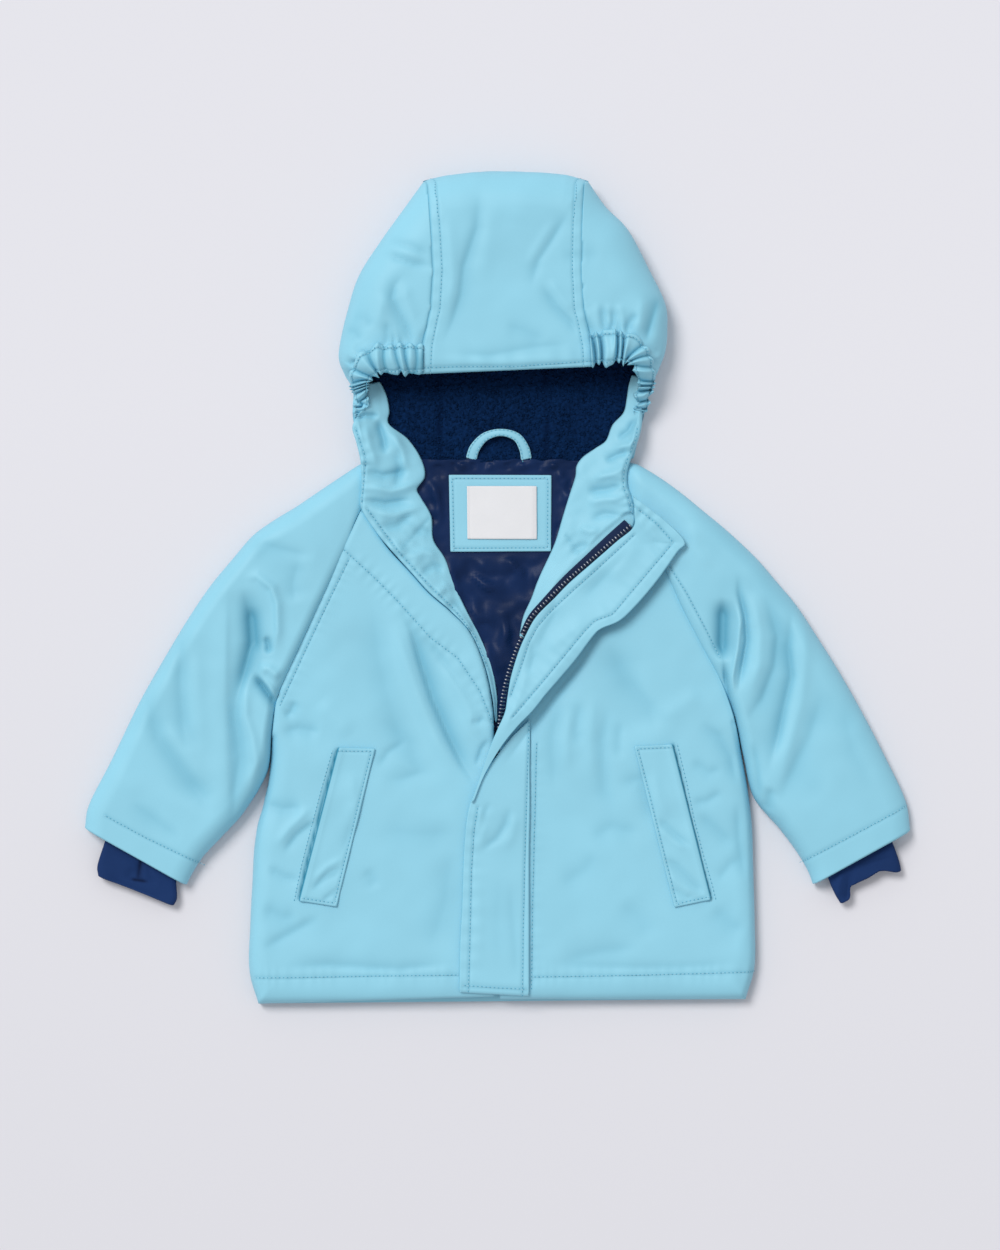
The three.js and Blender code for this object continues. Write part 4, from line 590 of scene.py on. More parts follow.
def folds(rows, x, y):
    """Sum of soft folds: a line in plan, its width on either side, its height. The ends fade."""
    total = np.zeros(np.shape(x))
    for line, left, right, high in rows:
        far, side, along = near(line, x, y)[:3]
        share = along / np.hypot(*np.diff(np.asarray(line), axis=0).T).sum()
        fade = smooth(0.12 + share * 3) * smooth(0.12 + (1 - share) * 3)
        wide = np.where(side > 0, left, right)
        total += high * fade * np.exp(-((far / wide) ** (CREASE if high < 0 else ROLL)))
    return FOLD_SHARE * total


def painted_trough_shade(fold, deepest=0.6):
    """Painted shade for a trough of the cloth: how much its colour is darkened, from the fold's height."""
    return np.clip(-fold / 13, 0, deepest)


def grooves(names, x, y, deep=0.5, wide=1.3):
    """Narrow dips along sewn lines, and how close each place is to one, from 0 to 1."""
    close = np.zeros(np.shape(x))
    for name in names:
        close = np.maximum(close, bell(distance(LINES[name], x, y), wide))
    return -deep * close, close


def drift(x, y, scale, seed):
    """Soft unevenness from -1 to 1, with humps about scale wide."""
    size = 40
    random = np.random.default_rng(seed).uniform(-1, 1, (size, size))
    u, v = np.asarray(x) / scale + 1000, np.asarray(y) / scale + 1000
    i, j = np.floor(u).astype(int), np.floor(v).astype(int)
    f, g = smooth(u - i), smooth(v - j)
    i, j, i1, j1 = i % size, j % size, (i + 1) % size, (j + 1) % size
    low = mix(random[i, j], random[i1, j], f)
    high = mix(random[i, j1], random[i1, j1], f)
    return mix(low, high, g)


def puckers(line, x, y, pitch, reach, seed):
    """Small ripples across a sewn line, fading away from it."""
    far, _, along, _, _ = near(line, x, y)
    phase = 2 * np.pi * (along / pitch + 0.7 * drift(along, 0 * along, pitch * 2.3, seed))
    return np.cos(phase) * bell(far, reach)


# Outlines that several pieces share
SIDE_STEPS = 5
LEFT_SIDE = curve(LEFT_ROWS, 0, (len(LEFT_ROWS) - 1) * SIDE_STEPS)
RIGHT_SIDE = curve(RIGHT_ROWS, 0, (len(RIGHT_ROWS) - 1) * SIDE_STEPS)
BODY_OUTLINE = np.concatenate(
    [LEFT_SIDE[ARMPIT_LEFT * SIDE_STEPS :], RIGHT_SIDE[ARMPIT_RIGHT * SIDE_STEPS :][::-1]]
)
RAGLAN_LEFT = LEFT_SIDE[: ARMPIT_LEFT * SIDE_STEPS + 1]
RAGLAN_RIGHT = RIGHT_SIDE[: ARMPIT_RIGHT * SIDE_STEPS + 1]
EDGE_LEFT = curve(LEFT_ROWS, 2, 42)
EDGE_RIGHT = curve(RIGHT_ROWS, 2, 42)
HOOD_OUTLINE = np.concatenate(
    [[[-104, 60]], curve(HOOD_LEFT, 0, 40)[::-1], CROWN, curve(HOOD_RIGHT, 0, 40), [[104, 60]]]
)


# Heights of the body
def body_heights(x, y):
    """How full the body is, and the heights of the back's two faces and of the front's under face."""
    far = distance(BODY_OUTLINE, x, y)
    below = smooth((-104 - y) / 30)
    full = mix(1, rounded(far / BODY_ROUND), below)
    back_under = SIDE_CURL * (1 - mix(1, rounded(far / 8), below))
    back_top = BACK_EDGE + BACK_PUFF * full
    inside = np.clip(far / 4, 0, 1)
    front_under = back_top + EDGE_GAP + (LINING + 2 * CLOTH_GAP - EDGE_GAP) * inside
    return full, back_under, back_top, front_under


def lining_top(x, y):
    return body_heights(x, y)[2] + CLOTH_GAP + LINING


def front_top(x, y):
    """Top of the fronts with their folds, without the sewn lines."""
    full, _, _, under = body_heights(x, y)
    raglan = np.minimum(distance(RAGLAN_LEFT, x, y), distance(RAGLAN_RIGHT, x, y))
    fold = folds(BODY_DETAIL, x, y)
    uneven = 0.7 * drift(x, y, 34, 3) + 0.35 * drift(x, y, 15, 4)
    return under + FRONT_EDGE + FRONT_PUFF * full + full * (fold + uneven) - 0.7 * bell(raglan, 2.2)


# Heights of the hood
def hood_surface(x, y, upper, inset):
    far = np.maximum(0, distance(HOOD_OUTLINE, x, y) - inset)
    edge = HOOD_EDGE * mix(0.45, 1, smooth((y - 128) / 50))
    high = mix(HOOD_LOW, HOOD_HIGH, smooth((y - 126) / 52)) - inset
    fold = HOOD_SHARE * folds(HOOD_DETAIL, x, y) + 0.6 * drift(x, y, 30, 8) + 0.3 * drift(x, y, 14, 9)
    top = edge + (high - edge) * rounded(far / HOOD_ROUND) + smooth(far / 20) * fold
    low = edge - (edge - inset) * rounded(far / HOOD_UNDER_ROUND)
    return np.where(upper, top, low)


def fleece_top(x, y):
    return hood_surface(x, y, False, HOOD_WALL) + CLOTH_GAP + FLEECE


def facing_base(x, y):
    lies = np.where(y > NECK_SEAM - 2, fleece_top(x, y), lining_top(x, y))
    return np.maximum(8.9, lies + CLOTH_GAP)


def zip_height(x, y):
    upper = mix(17.5, 19.2, smooth((y + 44) / 40))
    return np.where(y > -44, upper, mix(10, 17.5, smooth((y + 120) / 76)))


# Grids in plan
def plan_grid(rows, columns, count_rows, count_cols, pull):
    """Rows of places between two lines of a table."""
    t = np.linspace(0, 1, count_rows + 1)
    ax, ay, bx, by = (spline(rows[:, c], t)[:, None] for c in columns)
    u = crowd(np.linspace(0, 1, count_cols + 1), pull)[None, :]
    return mix(ax, bx, u), mix(ay, by, u)


def corner_grid(corners, count_rows, count_cols):
    a, b, c, d = np.asarray(corners, float)
    u = np.linspace(0, 1, count_cols + 1)[None, :, None]
    v = np.linspace(0, 1, count_rows + 1)[:, None, None]
    places = mix(mix(a, b, u), mix(d, c, u), v)
    return places[..., 0], places[..., 1]


def strip_grid(rows, count_rows, count_cols, swell=None):
    """Places across a centre line, whose table gives x, y and the half width."""
    t = np.linspace(0, 1, count_rows + 1)
    x, y, half = (spline(rows[:, c], t) for c in range(3))
    step = 0.002
    dx = spline(rows[:, 0], t + step) - spline(rows[:, 0], t - step)
    dy = spline(rows[:, 1], t + step) - spline(rows[:, 1], t - step)
    long = np.hypot(dx, dy)
    u = np.linspace(-1, 1, count_cols + 1)[None, :]
    off = half[:, None] * u
    if swell is not None:
        off = off * swell(t[:, None], u)
    return x[:, None] - off * (dy / long)[:, None], y[:, None] + off * (dx / long)[:, None], t, u


def points_of(x, y, z):
    return np.stack(np.broadcast_arrays(x, y, z), -1)


# Meshes
def metric(points, axis):
    """Length along a sheet in metres, from its first row or column."""
    step = np.linalg.norm(np.diff(points, axis=axis), axis=-1)
    start = np.zeros_like(np.take(step, [0], axis=axis))
    return np.cumsum(np.concatenate([start, step], axis=axis), axis=axis) * MM


def add_mesh(name, points, quads, corner_uv, marks):
    """A mesh in metres, with lengths on the cloth as its map and marks as point values."""
    volume = 0.0
    a, b, c, d = (points[quads[:, k]] for k in range(4))
    volume += np.einsum("ij,ij->", a, np.cross(b, c)) + np.einsum("ij,ij->", a, np.cross(c, d))
    if volume < 0:
        quads = quads[:, ::-1]
        corner_uv = corner_uv[:, ::-1]
    mesh = bpy.data.meshes.new(name)
    mesh.from_pydata((points * MM).tolist(), [], quads.tolist())
    layer = mesh.uv_layers.new(name="Cloth")
    layer.data.foreach_set("uv", np.ascontiguousarray(corner_uv, np.float32).ravel())
    for mark, values in marks.items():
        attribute = mesh.attributes.new(mark, "FLOAT", "POINT")
        attribute.data.foreach_set("value", np.ascontiguousarray(values, np.float32).ravel())
    mesh.polygons.foreach_set("use_smooth", np.ones(len(mesh.polygons), bool))
    mesh.update()
    piece = bpy.data.objects.new(name, mesh)
    bpy.context.scene.collection.objects.link(piece)
    return piece


def rim_of(ring, inner, other):
    """Points half way down an open edge, pushed out a little so that the edge is round."""
    out = ring - inner
    out /= np.maximum(np.linalg.norm(out, axis=1, keepdims=True), 1e-9)
    thick = np.linalg.norm(ring - other, axis=1, keepdims=True)
    return (ring + other) / 2 + out * np.minimum(0.3 * thick, 0.8)


def shell(name, upper, lower, seam_and_painted_shade=None):
    """Closed shell between two sheets of points, with a round edge."""
    rows, cols = upper.shape[:2]
    count = rows * cols
    index = np.arange(count).reshape(rows, cols)
    ring = np.concatenate([index[0], index[1:, -1], index[-1, -2::-1], index[-2:0:-1, 0]])
    inner = index[np.clip(ring // cols, 1, rows - 2), np.clip(ring % cols, 1, cols - 2)]
    top, low = upper.reshape(-1, 3), lower.reshape(-1, 3)
    rim = rim_of(top[ring], top[inner], low[ring])
    points = np.concatenate([top, low, rim])
    a, b, c, d = index[:-1, :-1], index[:-1, 1:], index[1:, 1:], index[1:, :-1]
    face = np.stack([a, b, c, d], -1).reshape(-1, 4)
    k = np.arange(len(ring))
    k1 = np.roll(k, -1)
    side = 2 * count
    wall_up = np.stack([ring[k1], ring[k], side + k, side + k1], -1)
    wall_low = np.stack([side + k1, side + k, count + ring[k], count + ring[k1]], -1)
    quads = np.concatenate([face, face[:, ::-1] + count, wall_up, wall_low])
    uv = np.stack([metric(upper, 1), metric(upper, 0)], -1).reshape(-1, 2)
    uv = np.concatenate([uv, uv, uv[ring]])
    # The mark: darker along sewn lines, and painted shade where the builder puts it.
    seam_and_painted_shade = np.zeros(count) if seam_and_painted_shade is None else np.broadcast_to(seam_and_painted_shade, (rows, cols)).ravel()
    marks = {"seam_and_painted_shade": np.concatenate([seam_and_painted_shade, seam_and_painted_shade, seam_and_painted_shade[ring]])}
    return add_mesh(name, points, quads, uv[quads], marks)


def tube(name, outer, inner, seam_and_painted_shade):
    """Closed tube between outer and inner rings of points, open at both ends."""
    cols = outer.shape[1]
    count = outer.shape[0] * cols
    turn = np.roll(np.arange(cols), -1)
    across = metric(np.concatenate([outer, outer[:, :1]], axis=1), 1)
    round_length = float(across[:, -1].mean())
    sheets = []
    for rings, start in ((outer, 0), (inner, count)):
        index = start + np.arange(rings.shape[0] * cols).reshape(-1, cols)
        turned = index[:, turn]
        sheets.append(np.stack([index[:-1], turned[:-1], turned[1:], index[1:]], -1).reshape(-1, 4))
    quads = [sheets[0], sheets[1][:, ::-1]]
    points = [outer.reshape(-1, 3), inner.reshape(-1, 3)]
    last = count + (inner.shape[0] - 1) * cols
    ends = ((0, 1, 0, count, 1), (-1, -2, count - cols, last, -1))
    rim_start = count + inner.shape[0] * cols
    here = np.arange(cols)
    for end, beside, ring, inner_ring, flip in ends:
        points.append(rim_of(outer[end], outer[beside], inner[end]))
        up = np.stack([ring + turn, ring + here, rim_start + here, rim_start + turn], -1)
        down = np.stack(
            [rim_start + turn, rim_start + here, inner_ring + here, inner_ring + turn], -1
        )
        quads += [up[:, ::flip], down[:, ::flip]]
        rim_start += cols
    points = np.concatenate(points)
    quads = np.concatenate(quads)
    u, v = across[:, :-1], metric(outer, 0)
    inner_rows = np.linspace(0, outer.shape[0] - 1, inner.shape[0]).astype(int)
    maps = [np.stack([u[r], v[r]], -1).reshape(-1, 2) for r in (slice(None), inner_rows, 0, -1)]
    corner_uv = np.concatenate(maps)[quads]
    low = corner_uv[:, :, 0] < round_length / 2
    wraps = np.ptp(corner_uv[:, :, 0], axis=1) > round_length / 2
    corner_uv[:, :, 0] += np.where(wraps[:, None] & low, round_length, 0)
    # The mark, on the outer face only: darker along sewn lines, and painted shade in troughs and slits.
    marks = {"seam_and_painted_shade": np.concatenate([seam_and_painted_shade.ravel(), seam_and_painted_shade[inner_rows].ravel() * 0, seam_and_painted_shade[0], seam_and_painted_shade[-1]])}
    return add_mesh(name, points, quads, corner_uv, marks)


SURFACES = {}


def finish_piece(piece, nodes, material=None):
    """Rides the coat, stands for its solids and takes its finish."""
    if material is not None:
        piece.data.materials.clear()
        piece.data.materials.append(material)
    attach(piece, "root")
    if nodes:
        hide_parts(*nodes)
    return piece


# Materials
def linear(code):
    """Linear colour of a six-figure colour code."""
    parts = [int(code[i : i + 2], 16) / 255 for i in (0, 2, 4)]
    return tuple(p / 12.92 if p <= 0.04045 else ((p + 0.055) / 1.055) ** 2.4 for p in parts)


def put(tree, kind, inputs=None, **settings):
    """A node with its settings, whose inputs are values or other nodes' outputs."""
    made = tree.nodes.new(kind)
    for key, value in settings.items():
        setattr(made, key, value)
    for key, value in (inputs or {}).items():
        if isinstance(value, bpy.types.NodeSocket):
            tree.links.new(value, made.inputs[key])
        else:
            made.inputs[key].default_value = value
    return made


def sums(tree, operation, a, b, c=0.0):
    return put(tree, "ShaderNodeMath", {0: a, 1: b, 2: c}, operation=operation).outputs[0]


def new_group(name, inputs, outputs):
    """A shader group with named sockets, as (tree, its inputs node, its outputs node)."""
    tree = bpy.data.node_groups.new(name, "ShaderNodeTree")
    for label, kind, value in inputs:
        socket = tree.interface.new_socket(label, in_out="INPUT", socket_type=kind)
        if value is not None:
            socket.default_value = value
    for label, kind in outputs:
        tree.interface.new_socket(label, in_out="OUTPUT", socket_type=kind)
    return tree, tree.nodes.new("NodeGroupInput"), tree.nodes.new("NodeGroupOutput")


def mottle_group():
    """Uneven colour: a wide soft shift and a fine speckle towards a second colour."""
    tree, given, out = new_group(
        "Uneven_colour",
        [
            ("Vector", "NodeSocketVector", None),
            ("Colour", "NodeSocketColor", (0.5, 0.5, 0.5, 1)),
            ("Second colour", "NodeSocketColor", (0.4, 0.4, 0.4, 1)),
            ("Wide scale", "NodeSocketFloat", 18.0),
            ("Fine scale", "NodeSocketFloat", 900.0),
            ("Fine share", "NodeSocketFloat", 0.2),
        ],
        [("Colour", "NodeSocketColor")],
    )
    vector = given.outputs["Vector"]
    wide = put(tree, "ShaderNodeTexNoise", {"Vector": vector, "Scale": given.outputs["Wide scale"], "Detail": 2.0})
    fine = put(tree, "ShaderNodeTexNoise", {"Vector": vector, "Scale": given.outputs["Fine scale"], "Detail": 2.0})
    share = put(
        tree,
        "ShaderNodeMix",
        {0: given.outputs["Fine share"], 2: wide.outputs["Fac"], 3: fine.outputs["Fac"]},
    ).outputs[0]
    level = put(
        tree,
        "ShaderNodeMapRange",
        {"Value": share, "From Min": 0.3, "From Max": 0.7, "To Min": 0.0, "To Max": 1.0},
    )
    mixed = put(
        tree,
        "ShaderNodeMix",
        {0: level.outputs[0], 6: given.outputs["Colour"], 7: given.outputs["Second colour"]},
        data_type="RGBA",
    )
    tree.links.new(mixed.outputs[2], out.inputs["Colour"])
    return tree


def film_group():
    """Height of a thin coating on cloth: a fine pebble grain and faint wider ripples."""
    tree, given, out = new_group(
        "Coating_grain",
        [
            ("Vector", "NodeSocketVector", None),
            ("Scale", "NodeSocketFloat", 1500.0),
            ("Ripple", "NodeSocketFloat", 0.3),
        ],
        [("Height", "NodeSocketFloat")],
    )
    vector = given.outputs["Vector"]
    grain = put(tree, "ShaderNodeTexVoronoi", {"Vector": vector, "Scale": given.outputs["Scale"]})
    ripple = put(tree, "ShaderNodeTexNoise", {"Vector": vector, "Scale": 160.0, "Detail": 2.0})
    weighted = sums(tree, "MULTIPLY", ripple.outputs["Fac"], given.outputs["Ripple"])
    total = sums(tree, "MULTIPLY_ADD", grain.outputs["Distance"], 0.5, weighted)
    tree.links.new(total, out.inputs["Height"])
    return tree


def weave_group():
    """Height of a weave or knit over the cloth's own lengths."""
    tree, given, out = new_group(
        "Thread_weave",
        [
            ("Vector", "NodeSocketVector", None),
            ("Across", "NodeSocketFloat", 2200.0),
            ("Along", "NodeSocketFloat", 2200.0),
        ],
        [("Height", "NodeSocketFloat")],
    )
    parts = put(tree, "ShaderNodeSeparateXYZ", {0: given.outputs["Vector"]})
    turn = 2 * math.pi
    waves = []
    for axis, label in ((0, "Across"), (1, "Along")):
        place = sums(tree, "MULTIPLY", parts.outputs[axis], given.outputs[label])
        waves.append(sums(tree, "SINE", sums(tree, "MULTIPLY", place, turn), 0.0))
    total = sums(tree, "MULTIPLY_ADD", waves[0], waves[1], 0.0)
    tree.links.new(sums(tree, "MULTIPLY_ADD", total, 0.5, 0.5), out.inputs["Height"])
    return tree


def darker(colour, share):
    return tuple(c * share for c in colour[:3]) + (1.0,)


def opaque(colour):
    return tuple(colour[:3]) + (1.0,)


def cloth_material(name, colour, second, roughness, grain, bump, sheen=0.0, seam_and_painted_shade=(0.3, 0.3, 0.35), gloss=0.3, fine=900.0, fine_share=0.2, wide=18.0):
    """Cloth with an uneven colour, darker where its mark is high: along sewn lines, and as painted shade in troughs,
    slits, puff valleys and under the turned flap; its surface as bump.
    """
    material = bpy.data.materials.new(name)
    material.use_nodes = True
    tree = material.node_tree
    tree.nodes.clear()
    place = put(tree, "ShaderNodeTexCoord")
    uneven = put(tree, "ShaderNodeGroup", node_tree=GROUPS["mottle"])
    values = {
        "Colour": opaque(colour),
        "Second colour": opaque(second),
        "Wide scale": wide,
        "Fine scale": fine,
        "Fine share": fine_share,
    }
    for key, value in values.items():
        uneven.inputs[key].default_value = value
    tree.links.new(place.outputs["Object"], uneven.inputs["Vector"])
    # The mark darkens the colour along sewn lines and paints shade in troughs, slits, puff valleys and under the
    # turned flap.
    mark = put(tree, "ShaderNodeAttribute", attribute_name="seam_and_painted_shade")
    shade = put(
        tree,
        "ShaderNodeMix",
        {
            0: mark.outputs["Fac"],
            6: uneven.outputs["Colour"],
            7: tuple(c * share for c, share in zip(colour, seam_and_painted_shade)) + (1.0,),
        },
        data_type="RGBA",
    )
    kind, scales = grain
    surface = put(tree, "ShaderNodeGroup", node_tree=GROUPS[kind])
    for key, value in scales.items():
        surface.inputs[key].default_value = value
    source = "Object" if kind == "film" else "UV"
    tree.links.new(place.outputs[source], surface.inputs["Vector"])
    strength, deep = bump
    relief = put(
        tree,
        "ShaderNodeBump",
        {"Strength": strength, "Distance": deep, "Height": surface.outputs["Height"]},
    )
    shader = put(
        tree,
        "ShaderNodeBsdfPrincipled",
        {
            "Base Color": shade.outputs[2],
            "Roughness": roughness,
            "Normal": relief.outputs[0],
            "Specular IOR Level": gloss,
            "Sheen Weight": sheen,
            "Sheen Roughness": 0.5,
        },
    )
    output = put(tree, "ShaderNodeOutputMaterial")
    tree.links.new(shader.outputs[0], output.inputs[0])
    return material


def metal_material(name, colour):
    """Brushed zip metal, unevenly dull at random."""
    material = bpy.data.materials.new(name)
    material.use_nodes = True
    tree = material.node_tree
    tree.nodes.clear()
    place = put(tree, "ShaderNodeTexCoord")
    uneven = put(tree, "ShaderNodeGroup", node_tree=GROUPS["mottle"])
    uneven.inputs["Colour"].default_value = opaque(colour)
    uneven.inputs["Second colour"].default_value = darker(colour, 0.55)
    uneven.inputs["Wide scale"].default_value = 420.0
    tree.links.new(place.outputs["Object"], uneven.inputs["Vector"])
    scratch = put(tree, "ShaderNodeTexNoise", {"Vector": place.outputs["Object"], "Scale": 2600.0, "Detail": 3.0})
    rough = put(
        tree,
        "ShaderNodeMapRange",
        {"Value": scratch.outputs["Fac"], "To Min": 0.25, "To Max": 0.5},
    )
    relief = put(tree, "ShaderNodeBump", {"Strength": 0.3, "Distance": 0.0001, "Height": scratch.outputs["Fac"]})
    shader = put(
        tree,
        "ShaderNodeBsdfPrincipled",
        {
            "Base Color": uneven.outputs["Colour"],
            "Metallic": 1.0,
            "Roughness": rough.outputs[0],
            "Normal": relief.outputs[0],
        },
    )
    output = put(tree, "ShaderNodeOutputMaterial")
    tree.links.new(shader.outputs[0], output.inputs[0])
    return material


GROUPS = {}
MATERIALS = {}


def make_materials(colours):
    GROUPS.update(mottle=mottle_group(), film=film_group(), weave=weave_group())
    film = ("film", {"Scale": 1300.0, "Ripple": 0.6})
    MATERIALS.update(
        shell=cloth_material(
            "Coated_cloth",
            colours.shell,
            darker(colours.shell, 0.94),
            0.52,
            film,
            (0.2, 0.00012),
            # Colour shares at a full mark: the painted shade of a deep crease, also used along sewn lines.
            seam_and_painted_shade=(0.06, 0.38, 0.48),
            gloss=0.26,
        ),
        lining=cloth_material(
            "Satin_lining",
            colours.lining,
            darker(colours.lining, 0.6),
            0.38,
            ("weave", {"Across": 2600.0, "Along": 1500.0}),
            (0.25, 0.00006),
            gloss=0.12,
            wide=30.0,
        ),
        fleece=cloth_material(
            "Curly_fleece",
            colours.fleece,
            darker(colours.fleece, 0.35),
            0.95,
            ("film", {"Scale": 620.0, "Ripple": 1.2}),
            (0.9, 0.0009),
            gloss=0.05,
            fine=420.0,
            fine_share=0.75,
            wide=40.0,
        ),
        cuff=cloth_material(
            "Smooth_knit",
            colours.cuff,
            darker(colours.cuff, 0.8),
            0.8,
            ("weave", {"Across": 1100.0, "Along": 700.0}),
            (0.4, 0.00012),
            sheen=0.02,
            gloss=0.12,
        ),
        label=cloth_material(
            "Woven_satin",
            colours.label,
            darker(colours.label, 0.95),
            0.5,
            ("weave", {"Across": 2400.0, "Along": 1800.0}),
            (0.35, 0.00008),
            seam_and_painted_shade=(0.8, 0.8, 0.82),
        ),
        tape=cloth_material(
            "Zip_tape",
            colours.zip_tape,
            darker(colours.zip_tape, 0.7),
            0.85,
            ("weave", {"Across": 1400.0, "Along": 1400.0}),
            (0.5, 0.00015),
            sheen=0.05,
        ),
        thread=cloth_material(
            "Sewing_thread",
            colours.thread,
            darker(colours.thread, 0.85),
            0.6,
            ("film", {"Scale": 3000.0, "Ripple": 0.2}),
            (0.2, 0.00005),
        ),
        # Needle holes: small dark dots whose colour is painted shade, as inside a hole.
        hole=cloth_material(
            "Needle_holes",
            tuple(c * share for c, share in zip(colours.shell, (0.4, 0.68, 0.76))),
            darker(tuple(c * share for c, share in zip(colours.shell, (0.4, 0.68, 0.76))), 0.9),
            0.8,
            ("film", {"Scale": 3000.0, "Ripple": 0.2}),
            (0.2, 0.00005),
        ),
        metal=metal_material("Zip_metal", colours.zip_metal),
    )


def floor_material(colour):
    """Plain paper with a faint grain, and painted light: a touch paler towards the far end and darker towards the near
    end, as the light falls.
    """
    material = bpy.data.materials.new("Floor")
    material.use_nodes = True
    tree = material.node_tree
    place = put(tree, "ShaderNodeTexCoord")
    parts = put(tree, "ShaderNodeSeparateXYZ", {0: place.outputs["Object"]})
    # Painted light: the floor's colour darkens towards the near end, as if less light fell there.
    level = put(
        tree,
        "ShaderNodeMapRange",
        {"Value": parts.outputs[1], "From Min": -0.55, "From Max": 0.15, "To Min": 0.0, "To Max": 1.0},
    )
    shade = put(
        tree,
        "ShaderNodeMix",
        {0: level.outputs[0], 6: darker(colour, 0.93), 7: opaque(colour)},
        data_type="RGBA",
    )
    grain = put(tree, "ShaderNodeTexNoise", {"Vector": place.outputs["Object"], "Scale": 300.0, "Detail": 2.0})
    relief = put(tree, "ShaderNodeBump", {"Strength": 0.05, "Distance": 0.0002, "Height": grain.outputs["Fac"]})
    shader = tree.nodes["Principled BSDF"]
    shader.inputs["Roughness"].default_value = 0.9
    tree.links.new(shade.outputs[2], shader.inputs["Base Color"])
    tree.links.new(relief.outputs[0], shader.inputs["Normal"])
    return material


# Geometry Nodes
def socket_id(tree, label):
    for item in tree.interface.items_tree:
        if item.item_type == "SOCKET" and item.in_out == "INPUT" and item.name == label:
            return item.identifier
    raise ValueError(f"{tree.name} has no input {label}")


def new_tree(name, inputs):
    tree = bpy.data.node_groups.new(name, "GeometryNodeTree")
    tree.interface.new_socket("Geometry", in_out="INPUT", socket_type="NodeSocketGeometry")
    for label, kind in inputs:
        tree.interface.new_socket(label, in_out="INPUT", socket_type=kind)
    tree.interface.new_socket("Geometry", in_out="OUTPUT", socket_type="NodeSocketGeometry")
    return tree, tree.nodes.new("NodeGroupInput"), tree.nodes.new("NodeGroupOutput")


def end_tree(tree, given, out, instances):
    """Realizes the instances, shades them smooth and gives them the material."""
    real = put(tree, "GeometryNodeRealizeInstances", {0: instances})
    smoothed = put(tree, "GeometryNodeSetShadeSmooth", {0: real.outputs[0]})
    dressed = put(
        tree,
        "GeometryNodeSetMaterial",
        {0: smoothed.outputs[0], "Material": given.outputs["Material"]},
    )
    tree.links.new(dressed.outputs[0], out.inputs[0])


def along_path(tree, given, shape, size):
    """Copies of a shape at even steps along the paths, turned along them."""
    path = put(tree, "GeometryNodeMeshToCurve", {0: given.outputs["Geometry"]})
    steps = put(tree, "GeometryNodeResampleCurve", {"Curve": path.outputs[0], "Length": given.outputs["Pitch"]}, mode="LENGTH")
    way = put(tree, "GeometryNodeInputTangent")
    turn = put(tree, "FunctionNodeAlignRotationToVector", {"Vector": way.outputs[0]}, axis="X")
    return put(
        tree,
        "GeometryNodeInstanceOnPoints",
        {"Points": steps.outputs[0], "Instance": shape, "Rotation": turn.outputs[0], "Scale": size},
    ).outputs[0]


def stitch_tree():
    """A run of stitches: rounded threads end to end along each path, and dark dots between them, painted shade for the
    needle holes.
    """
    tree, given, out = new_tree(
        "Stitch_run",
        [
            ("Pitch", "NodeSocketFloat"),
            ("Length", "NodeSocketFloat"),
            ("Width", "NodeSocketFloat"),
            ("Material", "NodeSocketMaterial"),
            ("Hole material", "NodeSocketMaterial"),
        ],
    )
    size = put(
        tree,
        "ShaderNodeCombineXYZ",
        {0: given.outputs["Length"], 1: given.outputs["Width"], 2: given.outputs["Width"]},
    )
    half_way = put(tree, "ShaderNodeCombineXYZ", {0: sums(tree, "MULTIPLY", given.outputs["Pitch"], 0.5)})
    stitch = tree.nodes.new("GeometryNodeJoinGeometry")
    for place, scale, material in (
        (None, size.outputs[0], "Material"),
        # The hole: a flat dark dot half way between threads, painted shade.
        (half_way.outputs[0], (0.0011, 0.0011, 0.00045), "Hole material"),
    ):
        ball = put(tree, "GeometryNodeMeshUVSphere", {"Segments": 6, "Rings": 3, "Radius": 0.5})
        moved = put(tree, "GeometryNodeTransform", {0: ball.outputs[0], "Scale": scale})
        if place is not None:
            tree.links.new(place, moved.inputs["Translation"])
        dressed = put(
            tree, "GeometryNodeSetMaterial", {0: moved.outputs[0], "Material": given.outputs[material]}
        )
        tree.links.new(dressed.outputs[0], stitch.inputs[0])
    placed = along_path(tree, given, stitch.outputs[0], (1, 1, 1))
    real = put(tree, "GeometryNodeRealizeInstances", {0: placed})
    smoothed = put(tree, "GeometryNodeSetShadeSmooth", {0: real.outputs[0]})
    tree.links.new(smoothed.outputs[0], out.inputs[0])
    return tree


def teeth_tree():
    """A row of zip teeth: a rounded head across the tape and a foot that grips it."""
    tree, given, out = new_tree(
        "Zip_teeth",
        [
            ("Pitch", "NodeSocketFloat"),
            ("Head", "NodeSocketVector"),
            ("Foot", "NodeSocketVector"),
            ("Material", "NodeSocketMaterial"),
        ],
    )
    head = put(tree, "GeometryNodeMeshUVSphere", {"Segments": 10, "Rings": 6, "Radius": 0.5})
    foot = put(tree, "GeometryNodeMeshCube")
    sized_head = put(tree, "GeometryNodeTransform", {0: head.outputs[0], "Scale": given.outputs["Head"]})
    sized_foot = put(
        tree,
        "GeometryNodeTransform",
        {0: foot.outputs[0], "Translation": (0, 0.0011, -0.0003), "Scale": given.outputs["Foot"]},
    )
    tooth = tree.nodes.new("GeometryNodeJoinGeometry")
    for part in (sized_head, sized_foot):
        tree.links.new(part.outputs[0], tooth.inputs[0])
    placed = along_path(tree, given, tooth.outputs[0], (1, 1, 1))
    end_tree(tree, given, out, placed)
    return tree


